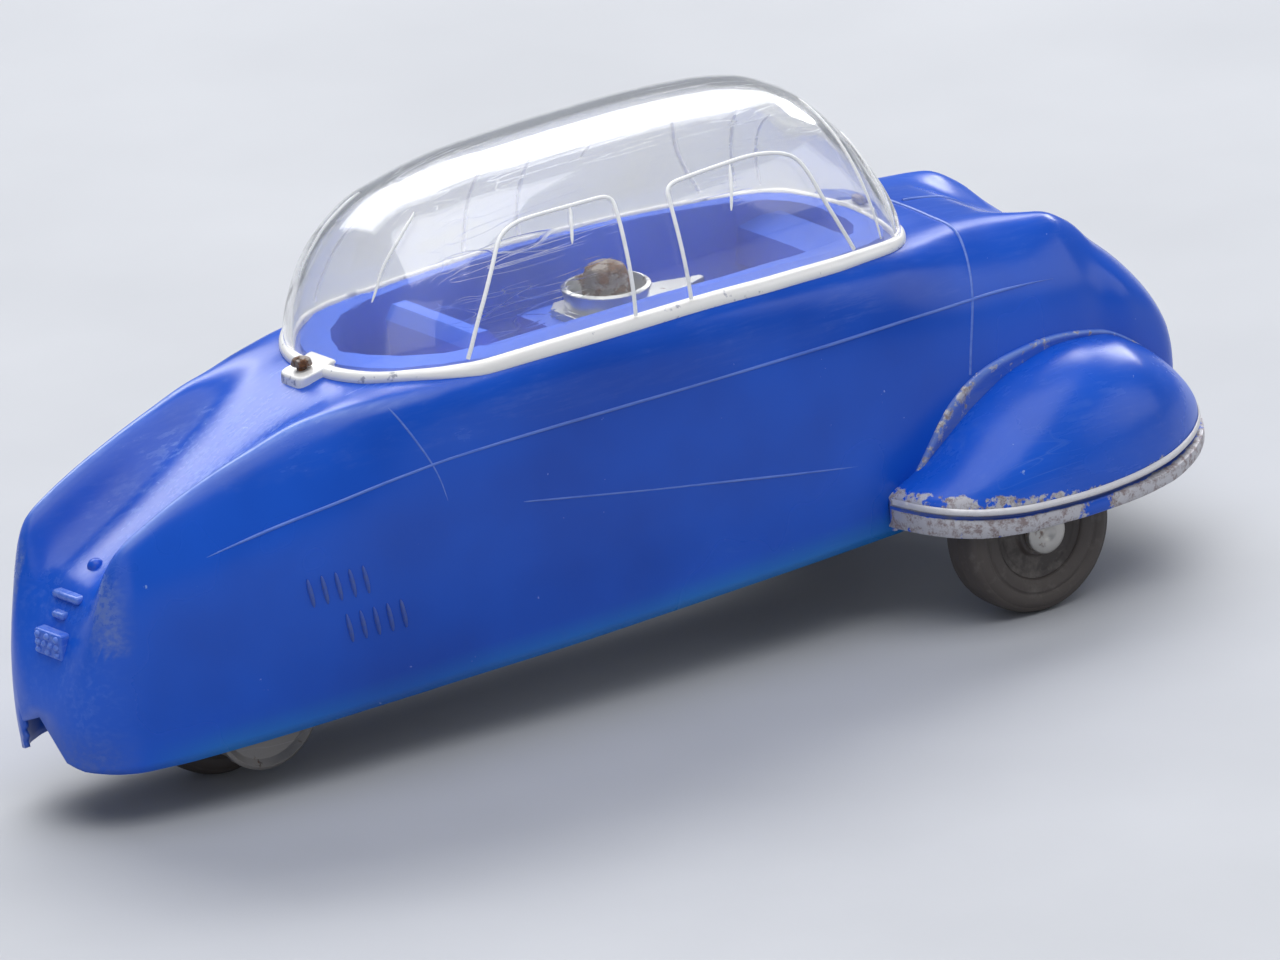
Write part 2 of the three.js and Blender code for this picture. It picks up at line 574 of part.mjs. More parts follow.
addNode("body_shell", bodyShell, finish.blue);
addNode("front_fender_right", fenderRight, finish.blue);
addNode("front_fender_left", mirrored(fenderRight), finish.blue);
addNode("canopy", canopy, finish.clear);
addNode("canopy_pin_rear", pin(rearPinX), finish.rusty);
addNode("canopy_pin_front", pin(frontPinX), finish.rusty);
addNode("cabin_insert", cabinInsert, finish.blue);
addNode("base_plate", basePlate, finish.tin);
addNode("clamp_post", clampPost, finish.tin);
addNode("clamp_strip", clampStrip, finish.bright);
addNode("clamp_screw", clampScrew, finish.rusty);
addNode(
  "front_axle",
  barY(frontWheelX, wheelRadius, axleRadius, -frontWheelOuter - 0.25, frontWheelOuter + 0.25),
  finish.steel,
);
for (const [side, sign] of [["right", -1], ["left", 1]]) {
  const place = (profile) => turned(profile, frontWheelX, sign * frontMiddle, wheelRadius);
  addNode(`front_tyre_${side}`, place(tyreProfile(frontHalf)), finish.rubber);
  addNode(`front_wheel_disc_${side}`, place(discProfile(frontHalf)), finish.darkPlastic);
  addNode(`front_axle_cap_${side}`, sign > 0 ? axleCap : mirrored(axleCap), finish.bright);
}
addNode("motor_frame", motorFrame, finish.tin);
rivetPoints.forEach((point, i) => addNode(`frame_rivet_${i + 1}`, rivet(point), finish.steel));
addNode(
  "frame_post",
  turned([[0, 0], [0.7, 0], [0.7, 0.8], [1.3, 0.8], [1.3, 6.1], [0.7, 6.1], [0.7, 6.9], [0, 6.9]], 0, 0, 0, 24)
    .translate([frontPost[0], -3.45, frontPost[1]]),
  finish.steel,
);
addNode("rear_axle", barY(...axlePoint, axleRadius, -8.5, 4.6), finish.steel);
addNode("rear_tyre", turned(tyreProfile(rearWheelHalf), rearWheelX, 0, wheelRadius), finish.rubber);
addNode("rear_wheel_disc", turned(discProfile(rearWheelHalf), rearWheelX, 0, wheelRadius), finish.darkPlastic);
addNode("drive_gear", driveGear, finish.zinc);
addNode("idler_arbor", idlerArbor, finish.steel);
addNode("idler_gear", idlerGear, finish.brass);
addNode("idler_pinion", idlerPinion, finish.brass);
addNode("flywheel_arbor", barY(...flywheelPoint, 0.6, -5.4, 4.4, 24), finish.steel);
addNode("flywheel_pinion", flywheelPinion, finish.brass);
addNode(
  "flywheel",
  turned(
    [[0.6, -1.2], [1.6, -1.2], [1.6, -0.5], [4.0, -0.5], [4.3, -2.2], [5.8, -2.2], [flywheelRadius, -2.0],
      [flywheelRadius, 2.0], [5.8, 2.2], [4.3, 2.2], [4.0, 0.5], [1.6, 0.5], [1.6, 1.2], [0.6, 1.2], [0.6, -1.2]],
    flywheelPoint[0], 0, flywheelPoint[1],
  ),
  finish.zinc,
);

export default model;
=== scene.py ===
import math

import bmesh
import bpy
import numpy as np
from mathutils import Matrix, Vector


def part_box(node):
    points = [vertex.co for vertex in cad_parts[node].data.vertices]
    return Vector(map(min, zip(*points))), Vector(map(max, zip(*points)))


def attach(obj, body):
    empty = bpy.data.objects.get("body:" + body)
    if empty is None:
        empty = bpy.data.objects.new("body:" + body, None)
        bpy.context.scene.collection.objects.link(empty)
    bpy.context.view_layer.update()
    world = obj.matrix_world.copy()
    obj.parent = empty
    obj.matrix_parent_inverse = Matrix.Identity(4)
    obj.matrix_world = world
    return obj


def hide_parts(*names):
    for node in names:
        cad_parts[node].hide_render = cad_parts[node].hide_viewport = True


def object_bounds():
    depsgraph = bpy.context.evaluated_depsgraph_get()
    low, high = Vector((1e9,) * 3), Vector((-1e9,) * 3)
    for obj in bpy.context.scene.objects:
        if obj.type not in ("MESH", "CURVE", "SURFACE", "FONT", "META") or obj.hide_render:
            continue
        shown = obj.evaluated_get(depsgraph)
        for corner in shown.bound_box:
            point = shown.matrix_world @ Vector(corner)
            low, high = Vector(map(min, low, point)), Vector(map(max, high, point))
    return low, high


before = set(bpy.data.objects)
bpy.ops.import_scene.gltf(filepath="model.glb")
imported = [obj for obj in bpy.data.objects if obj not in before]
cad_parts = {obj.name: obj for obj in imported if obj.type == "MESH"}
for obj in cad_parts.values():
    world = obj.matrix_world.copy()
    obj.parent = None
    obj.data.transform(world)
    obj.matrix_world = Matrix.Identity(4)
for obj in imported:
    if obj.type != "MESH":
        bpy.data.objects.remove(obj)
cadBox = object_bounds()
print("frame loaded")

# The car's own lengths are millimetres counted from the tail.
mm = 0.001
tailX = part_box("body_shell")[0].x


def toFrame(points):
    p = np.array(points, float) * mm
    p[..., 0] += tailX
    return p


def middleOf(node):
    low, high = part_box(node)
    middle = (low + high) / 2
    return ((middle.x - tailX) / mm, middle.y / mm, middle.z / mm)


# curves shared by the pieces


def smoothRows(rows):
    # a curve through rows of x and values that never overshoots between rows
    table = np.array(rows, float)
    xs, values = table[:, 0], table[:, 1:]
    d = np.diff(values, axis=0) / np.diff(xs)[:, None]
    rising = d[:-1] * d[1:] > 0
    inner = np.where(rising, 2 * d[:-1] * d[1:] / np.where(rising, d[:-1] + d[1:], 1), 0)
    slopes = np.vstack([d[:1], inner, d[-1:]])

    def at(x):
        x = np.atleast_1d(np.asarray(x, float))
        i = np.clip(np.searchsorted(xs, x) - 1, 0, len(xs) - 2)
        h = (xs[i + 1] - xs[i])[:, None]
        t = np.clip((x - xs[i])[:, None] / h, 0, 1)
        a = 2 * t**3 - 3 * t**2 + 1
        bend = (t**3 - 2 * t**2 + t) * slopes[i] + (t**3 - t**2) * slopes[i + 1]
        return a * values[i] + (1 - a) * values[i + 1] + h * bend

    return at


def quarterArch(width, height, power, steps):
    # from the side (angle 0) up to the top
    a = np.linspace(0, np.pi / 2, steps + 1)
    return np.stack([width * np.cos(a) ** (2 / power), height * np.sin(a) ** (2 / power)], -1)


def denseBetween(stops, step):
    parts = [np.linspace(a, b, max(2, math.ceil((b - a) / step) + 1))[:-1] for a, b in zip(stops, stops[1:])]
    return np.concatenate([*parts, [stops[-1]]])


def bump(x, centre, width):
    return np.exp(-((x - centre) / width) ** 2)


# meshes


def finishMesh(piece, sharpAngle=None):
    mesh = piece.data
    shape = bmesh.new()
    shape.from_mesh(mesh)
    bmesh.ops.delete(shape, geom=[v for v in shape.verts if not v.link_faces], context="VERTS")
    bmesh.ops.recalc_face_normals(shape, faces=shape.faces)
    shape.to_mesh(mesh)
    shape.free()
    mesh.shade_smooth()
    if sharpAngle:
        mesh.set_sharp_from_angle(angle=math.radians(sharpAngle))


def linked(name, data):
    made = bpy.data.objects.new(name, data)
    bpy.context.scene.collection.objects.link(made)
    return made


def setMasks(mesh, masks):
    # one value for every point, or a single value for all of them
    for key, values in masks.items():
        values = np.broadcast_to(np.asarray(values, np.float32), len(mesh.vertices)).copy()
        mesh.attributes.new(key, "FLOAT", "POINT").data.foreach_set("value", values)


def newPiece(name, points, faces, material, body="chassis", masks=None, sharpAngle=None, replaces=()):
    mesh = bpy.data.meshes.new(name)
    mesh.from_pydata([tuple(p) for p in toFrame(points)], [], [tuple(f) for f in faces])
    setMasks(mesh, masks or {})
    mesh.materials.append(material)
    piece = linked(name, mesh)
    finishMesh(piece, sharpAngle)
    return rideOn(piece, body, replaces)


def rideOn(piece, body, replaces=()):
    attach(piece, body)
    if replaces:
        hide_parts(*replaces)
    return piece


def gridFaces(rows, columns, closed=False, capped=False):
    faces = []
    for i in range(rows - 1):
        for j in range(columns if closed else columns - 1):
            k = (j + 1) % columns
            faces.append((i * columns + j, i * columns + k, (i + 1) * columns + k, (i + 1) * columns + j))
    if capped:
        last = rows * columns - 1
        faces += [tuple(range(columns)), tuple(range(last, last - columns, -1))]
    return faces


def addBevel(piece, width, segments=2, angle=30):
    modifier = piece.modifiers.new("edges", "BEVEL")
    modifier.width, modifier.segments = width * mm, segments
    modifier.limit_method, modifier.angle_limit = "ANGLE", math.radians(angle)
    return piece


def softenedCopy(node, name, width, material, body="chassis", angle=30):
    # the part's own shape, merged and with its edges rounded
    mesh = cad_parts[node].data.copy()
    mesh.name = name
    mesh.materials.clear()
    shape = bmesh.new()
    shape.from_mesh(mesh)
    bmesh.ops.remove_doubles(shape, verts=shape.verts, dist=2e-6)
    bmesh.ops.dissolve_limit(shape, angle_limit=math.radians(1.5), verts=shape.verts, edges=shape.edges)
    bmesh.ops.recalc_face_normals(shape, faces=shape.faces)
    shape.to_mesh(mesh)
    shape.free()
    mesh.shade_smooth()
    mesh.set_sharp_from_angle(angle=math.radians(40))
    mesh.materials.append(material)
    return rideOn(addBevel(linked(name, mesh), width, 2, angle), body, [node])


def turnedPiece(name, profile, middle, material, body, bevel=0.08, sides=128, **more):
    # profile of radius and distance along the car's width, turned about a line through middle
    profile = np.array(profile, float)
    a = np.linspace(0, 2 * np.pi, sides, endpoint=False)
    x, y, z = middle
    onAxis = profile[:, 0] < 1e-6
    points, faces, rings = [], [], []
    for (r, d), centre in zip(profile, onAxis):
        rings.append(len(points))
        points += [(x + r * math.cos(t), y + d, z + r * math.sin(t)) for t in ([0.0] if centre else a)]
    pairs = list(zip(range(len(profile)), range(1, len(profile))))
    if not onAxis[0] and not onAxis[-1]:
        pairs.append((len(profile) - 1, 0))
    for p, q in pairs:
        for j in range(sides):
            k = (j + 1) % sides
            first = [rings[p]] if onAxis[p] else [rings[p] + j, rings[p] + k]
            second = [rings[q]] if onAxis[q] else [rings[q] + k, rings[q] + j]
            faces.append([*first, *second])
    piece = newPiece(name, points, faces, material, body, **more)
    piece.data.set_sharp_from_angle(angle=math.radians(50))
    return addBevel(piece, bevel, 2, 28)


# node trees in short: every shader and shape tree is written through this


class Nodes:
    def __init__(self, tree):
        self.tree = tree

    def add(self, kind, values=None, **settings):
        made = self.tree.nodes.new(kind)
        for key, value in settings.items():
            setattr(made, key, value)
        self.feed(made, values or {})
        return made

    def feed(self, node, values):
        for key, value in values.items():
            if isinstance(value, bpy.types.NodeSocket):
                self.tree.links.new(value, node.inputs[key])
            else:
                node.inputs[key].default_value = value

    def maths(self, operation, a, b=0.0, clamp=False):
        return self.add("ShaderNodeMath", {0: a, 1: b}, operation=operation, use_clamp=clamp).outputs[0]

    def times(self, a, b):
        return self.maths("MULTIPLY", a, b)

    def plus(self, a, b, clamp=False):
        return self.maths("ADD", a, b, clamp)

    def minus(self, a, b):
        return self.maths("SUBTRACT", a, b)

    def most(self, a, b):
        return self.maths("MAXIMUM", a, b)

    def remap(self, value, low, high, toLow=0.0, toHigh=1.0):
        ends = {"From Min": low, "From Max": high, "To Min": toLow, "To Max": toHigh}
        return self.add("ShaderNodeMapRange", {"Value": value, **ends}).outputs["Result"]

    def mix(self, factor, first, second):
        first, second = ((*c, 1) if isinstance(c, tuple) else c for c in (first, second))
        return self.add("ShaderNodeMix", {0: factor, 6: first, 7: second}, data_type="RGBA").outputs[2]

    def noise(self, vector, scale, detail, roughness=0.5):
        values = {"Vector": vector, "Scale": scale, "Detail": detail, "Roughness": roughness}
        return self.add("ShaderNodeTexNoise", values).outputs["Fac"]

    def turned(self, vector, rotation, scale):
        values = {"Vector": vector, "Rotation": rotation, "Scale": scale}
        return self.add("ShaderNodeMapping", values).outputs[0]

    def group(self, group, **values):
        made = self.add("ShaderNodeGroup", node_tree=group)
        self.feed(made, values)
        return made.outputs


def newTree(name, kind, inputs, outputs):
    # sockets are given as name: (kind, starting value) and name: kind
    tree = bpy.data.node_groups.new(name, kind)
    for label, (socketKind, value) in inputs.items():
        socket = tree.interface.new_socket(name=label, in_out="INPUT", socket_type="NodeSocket" + socketKind)
        if value is not None:
            socket.default_value = value
    for label, socketKind in outputs.items():
        tree.interface.new_socket(name=label, in_out="OUTPUT", socket_type="NodeSocket" + socketKind)
    return Nodes(tree), tree.nodes.new("NodeGroupInput").outputs, tree.nodes.new("NodeGroupOutput")


# shader groups: wear, scratches and grain that several finishes share


def buildWearPatches():
    # blotches with ragged edges, such as paint worn through or rust coming
    n, given, out = newTree(
        "wearPatches", "ShaderNodeTree",
        {"Coordinates": ("Vector", None), "Scale": ("Float", 400.0), "Amount": ("Float", 0.5),
         "Edge": ("Float", 0.08)},
        {"Mask": "Float", "Raw": "Float"},
    )
    coarse = n.noise(given["Coordinates"], given["Scale"], 5.0, 0.65)
    fine = n.noise(given["Coordinates"], n.times(given["Scale"], 5.0), 3.0)
    mixed = n.plus(coarse, n.times(n.minus(fine, 0.5), 0.35))
    start = n.minus(0.78, n.times(given["Amount"], 0.56))
    n.feed(out, {"Mask": n.remap(mixed, start, n.plus(start, given["Edge"])), "Raw": mixed})
    return n.tree


def buildHairScratches():
    # fine hairlines in three directions, broken up along their length
    n, given, out = newTree(
        "hairScratches", "ShaderNodeTree",
        {"Coordinates": ("Vector", None), "Scale": ("Float", 900.0), "Amount": ("Float", 0.5)},
        {"Mask": "Float"},
    )
    hairs = []
    for turn, size in (((0.2, 0.5, 0.3), 1.0), ((-0.5, -0.9, 1.1), 0.8), ((1.2, 0.25, -0.7), 1.3)):
        stretched = n.turned(given["Coordinates"], turn, (0.035 * size, size, size))
        lines = n.noise(stretched, given["Scale"], 2.0, 0.4)
        hairs.append(n.remap(n.maths("ABSOLUTE", n.minus(lines, 0.5)), 0.0035, 0.0))
    patch = n.noise(given["Coordinates"], n.times(given["Scale"], 0.16), 3.0)
    start = n.minus(0.85, n.times(given["Amount"], 0.55))
    broken = n.remap(patch, start, n.plus(start, 0.12))
    n.feed(out, {"Mask": n.times(n.most(n.most(hairs[0], hairs[1]), hairs[2]), broken)})
    return n.tree


def buildFineGrain():
    # the slight unevenness of a moulded, cast or rolled surface
    n, given, out = newTree(
        "fineGrain", "ShaderNodeTree", {"Coordinates": ("Vector", None), "Scale": ("Float", 2000.0)},
        {"Height": "Float", "Tone": "Float"},
    )
    tone = n.noise(given["Coordinates"], n.times(given["Scale"], 0.03), 3.0)
    grain = n.noise(given["Coordinates"], given["Scale"], 4.0, 0.6)
    n.feed(out, {"Height": grain, "Tone": n.remap(tone, 0.3, 0.7)})
    return n.tree


wearPatches, hairScratches, fineGrain = buildWearPatches(), buildHairScratches(), buildFineGrain()


class Finish(Nodes):
    # a material in the making, with its grain already in place
    def __init__(self, name, grain):
        self.material = bpy.data.materials.new(name)
        self.material.use_nodes = True
        super().__init__(self.material.node_tree)
        self.shader = self.tree.nodes["Principled BSDF"]
        self.coords = self.tree.nodes.new("ShaderNodeTexCoord").outputs["Object"]
        grain = self.group(fineGrain, Coordinates=self.coords, Scale=grain)
        self.height, self.tone = grain["Height"], grain["Tone"]

    def patches(self, scale, amount, edge, output="Mask"):
        return self.group(wearPatches, Coordinates=self.coords, Scale=scale, Amount=amount, Edge=edge)[output]

    def hairs(self, scale, amount):
        return self.group(hairScratches, Coordinates=self.coords, Scale=scale, Amount=amount)["Mask"]

    def mask(self, key):
        return self.add("ShaderNodeAttribute", attribute_name=key).outputs["Fac"]

    def done(self, values, height, strength, distance):
        raised = self.add("ShaderNodeBump", {"Height": height, "Strength": strength, "Distance": distance})
        self.feed(self.shader, {**values, "Normal": raised.outputs["Normal"]})
        return self.material


# blue moulded styrene

blueStyrene = {
    "deep": (0.0040, 0.062, 0.44),
    "bright": (0.0065, 0.105, 0.66),
    "thinEdgeGlow": (0.015, 0.235, 0.52),
    "scratch": (0.16, 0.30, 0.70),
    "scuffAndHighlight": (0.36, 0.50, 0.84),
    "silver": (0.56, 0.55, 0.58),
    "silverBeadHighlight": (0.78, 0.77, 0.78),
    "speckle": (0.20, 0.135, 0.13),
    "lens": (0.13, 0.20, 0.50),
    # grey for painted shade in the fender's groove and underside and on the louvres, and greyer towards the
    # tail's foot
    "dust": (0.15, 0.165, 0.20),
    "gloss": 0.2,
    "scratches": 0.4,
    "specular": 0.4,
    "strokeTurn": (0.15, 0.2, 0.62),
}
trayStyrene = {**blueStyrene, "deep": (0.004, 0.070, 0.52), "bright": (0.007, 0.120, 0.80), "gloss": 0.45,
               "scratches": 0.3, "specular": 0.2}


def makeBlue(name, look):
    f = Finish(name, 1500.0)
    strokes = f.noise(f.turned(f.coords, look["strokeTurn"], (0.12, 1.0, 1.0)), 1900.0, 3.0, 0.6)

    def stroked(key, low, high, least=0.0):
        return f.times(f.mask(key), f.remap(strokes, low, high, least))

    colour = f.mix(f.tone, look["deep"], look["bright"])
    # painted glow: the thin lower edge is lightened towards teal as if light shone through it
    thin = f.times(f.mask("thin"), f.remap(f.tone, 0, 1, 0.3, 0.75))
    colour = f.mix(thin, colour, look["thinEdgeGlow"])
    scratches = f.hairs(260.0, look["scratches"])
    colour = f.mix(f.times(scratches, 0.4), colour, look["scratch"])
    # scuffed dull, partly painted highlight: fine parallel strokes on the worn places and the crests, which stand
    # partly for wear and partly for painted highlight on the lit deck valley, trim and raised lines; then small
    # nicks, which are wear
    rubbed = f.times(stroked("rubbed", 0.46, 0.66), f.remap(f.patches(190.0, 0.5, 0.2), 0, 1, 0.25))
    colour = f.mix(f.times(rubbed, 0.7), colour, look["scuffAndHighlight"])
    colour = f.mix(f.times(stroked("crest", 0.3, 0.6, 0.55), 0.62), colour, look["scuffAndHighlight"])
    colour = f.mix(f.times(f.patches(520.0, 0.085, 0.03), 0.6), colour, look["scuffAndHighlight"])
    colour = f.mix(f.times(stroked("lens", 0.35, 0.6, 0.35), 0.85), colour, look["lens"])
    # silver paint where the piece's own mask says, worn through in patches and speckled brown
    painted = f.mask("silver")
    level = f.plus(painted, f.times(f.minus(f.patches(480.0, 0.5, 0.12, "Raw"), 0.5), 1.5))
    paint = f.times(f.remap(level, 0.42, 0.52), f.remap(painted, 0.02, 0.2))
    spots = f.patches(1250.0, 0.56, 0.16)
    silver = f.mix(f.times(spots, 0.8), look["silver"], look["speckle"])
    # painted highlight: the bead's top, where the mask is above 1.05, is a lighter silver where the light catches
    # it
    silver = f.mix(f.remap(painted, 1.05, 1.3), silver, look["silverBeadHighlight"])
    colour = f.mix(paint, colour, silver)
    # greyed where the mask says: painted shade in the fender's groove and underside and on the louvres, greyer
    # towards the foot of the tail
    dirtAndShade = stroked("dirtAndShade", 0.3, 0.7, 0.4)
    colour = f.mix(f.times(dirtAndShade, 0.85), colour, look["dust"])
    rough = f.remap(f.tone, 0, 1, look["gloss"], look["gloss"] + 0.1)
    rough = f.plus(rough, f.times(f.most(scratches, rubbed), 0.2))
    rough = f.plus(rough, f.times(f.most(paint, dirtAndShade), 0.25), clamp=True)
    metallic = f.times(paint, f.minus(0.5, f.times(spots, 0.45)))
    height = f.minus(f.times(f.height, 0.1), f.times(scratches, 0.8))
    height = f.plus(height, f.times(rubbed, -0.35))
    height = f.plus(height, f.times(f.times(paint, spots), -0.9))
    return f.done({"Base Color": colour, "Roughness": rough, "Metallic": metallic, "IOR": 1.5,
                   "Specular IOR Level": look["specular"]}, height, 0.35, 0.00004)


blueShell = makeBlue("blueShell", blueStyrene)
blueTray = makeBlue("blueTray", trayStyrene)
print("blue finishes ready")

# clear moulded styrene, its painted rim and its raised lines

clearStyrene = {
    "tint": (0.955, 0.96, 0.955),
    "yellowed": (0.93, 0.915, 0.86),
    "ior": 1.5,
    "transmission": 0.96,
    "rough": 0.035,
    "coatRough": 0.27,
    "shadowAlpha": 0.16,
}
rimPaint = {"paint": (0.90, 0.89, 0.87), "aged": (0.70, 0.66, 0.60), "worn": (0.24, 0.25, 0.33)}
moulding = {"light": (0.93, 0.93, 0.93), "dark": (0.66, 0.69, 0.74)}


def makeClear(name, look):
    f = Finish(name, 900.0)
    colour = f.mix(f.times(f.tone, 0.5), look["tint"], look["yellowed"])
    scratches, haze = f.hairs(300.0, 0.62), f.patches(240.0, 0.34, 0.3)
    rough = f.plus(look["rough"], f.times(scratches, 0.32))
    rough = f.plus(rough, f.times(haze, 0.16), clamp=True)
    # light reaches the cabin straight through the clear wall
    shadowRay = f.add("ShaderNodeLightPath").outputs["Is Shadow Ray"]
    values = {"Base Color": colour, "Roughness": rough, "IOR": look["ior"],
              "Transmission Weight": look["transmission"], "Coat Weight": f.remap(haze, 0, 1, 0.75),
              "Coat Roughness": look["coatRough"], "Alpha": f.remap(shadowRay, 0, 1, 1.0, look["shadowAlpha"])}
    return f.done(values, f.plus(f.times(f.height, 0.2), f.times(scratches, -1.0)), 0.3, 0.00003)


def makeRimPaint(name, look):
    f = Finish(name, 1600.0)
    worn = f.patches(420.0, 0.3, 0.05)
    colour = f.mix(f.times(f.tone, 0.35), look["paint"], look["aged"])
    colour = f.mix(f.times(worn, 0.75), colour, look["worn"])
    return f.done({"Base Color": colour, "Roughness": f.remap(f.tone, 0, 1, 0.28, 0.42),
                   "Metallic": f.remap(worn, 0, 1, 0.12, 0.02)},
                  f.minus(f.times(f.height, 0.3), worn), 0.4, 0.00003)


# the clear raised lines are made opaque near-white: painted highlight where the relief catches the light
def makeMoulding(name, look):
    f = Finish(name, 1300.0)
    colour = f.mix(f.times(f.patches(300.0, 0.4, 0.2), 0.7), look["light"], look["dark"])
    return f.done({"Base Color": colour, "Roughness": f.remap(f.height, 0.3, 0.7, 0.18, 0.35), "IOR": 1.5},
                  f.height, 0.2, 0.00002)


clearDome = makeClear("clearDome", clearStyrene)
paintedRim = makeRimPaint("paintedRim", rimPaint)
raisedClear = makeMoulding("raisedClear", moulding)

# rubber, dark plastic and metals


def makeMatt(name, look):
    f = Finish(name, look["grain"])
    dust = f.patches(380.0, look["dusty"], 0.22)
    colour = f.mix(f.times(dust, 0.6), f.mix(f.tone, look["dark"], look["light"]), look["dust"])
    rough = f.remap(f.plus(f.tone, dust), 0, 2, look["rough"], 0.85)
    return f.done({"Base Color": colour, "Roughness": rough}, f.height, 0.5, look["depth"])


metalLook = {
    "grain": 2500.0,
    "rustScale": 420.0,
    "bumpy": 0.3,
    "worn": (0.75, 0.74, 0.72),
    "rustDark": (0.055, 0.024, 0.012),
    "rustLight": (0.20, 0.085, 0.035),
}


def makeMetal(name, dark, light, rust, rough, **changes):
    look = {**metalLook, **changes}
    f = Finish(name, look["grain"])
    rusty = f.patches(look["rustScale"], rust, 0.09)
    colour = f.mix(f.tone, dark, light)
    colour = f.mix(f.times(f.hairs(420.0, 0.6), 0.4), colour, look["worn"])
    rustTone = f.mix(f.remap(f.height, 0.35, 0.65), look["rustDark"], look["rustLight"])
    roughness = f.plus(f.remap(f.tone, 0, 1, rough, rough + 0.15), f.times(rusty, 0.4), clamp=True)
    return f.done({"Base Color": f.mix(rusty, colour, rustTone), "Roughness": roughness,
                   "Metallic": f.remap(rusty, 0, 1, 1.0, 0.1)},
                  f.plus(f.height, f.times(rusty, 1.2)), look["bumpy"], 0.00005)


tyreRubber = makeMatt("tyreRubber", {
    "dark": (0.046, 0.037, 0.033), "light": (0.088, 0.074, 0.066), "dust": (0.17, 0.155, 0.14),
    "grain": 2600.0, "dusty": 0.42, "rough": 0.5, "depth": 0.00006})
wheelPlastic = makeMatt("wheelPlastic", {
    "dark": (0.034, 0.027, 0.025), "light": (0.072, 0.060, 0.054), "dust": (0.21, 0.19, 0.17),
    "grain": 2000.0, "dusty": 0.5, "rough": 0.4, "depth": 0.00004})
# dark tone, light tone, rust, roughness
tinplate = makeMetal("tinplate", (0.34, 0.335, 0.325), (0.56, 0.555, 0.54), 0.34, 0.34)
steelRod = makeMetal("steelRod", (0.36, 0.36, 0.36), (0.55, 0.55, 0.55), 0.2, 0.26)
brightStrip = makeMetal("brightStrip", (0.42, 0.42, 0.41), (0.66, 0.66, 0.65), 0.28, 0.24)
brightCap = makeMetal("brightCap", (0.36, 0.35, 0.33), (0.58, 0.56, 0.53), 0.3, 0.36, bumpy=0.7)
rustedSteel = makeMetal("rustedSteel", (0.13, 0.11, 0.10), (0.34, 0.30, 0.27), 0.58, 0.45, bumpy=0.9,
                        rustScale=900.0)
castZinc = makeMetal("castZinc", (0.17, 0.16, 0.15), (0.33, 0.31, 0.29), 0.25, 0.42, bumpy=0.8, grain=1800.0)
gearBrass = makeMetal("gearBrass", (0.36, 0.24, 0.09), (0.62, 0.44, 0.19), 0.14, 0.3)
print("all finishes ready")

# body shell

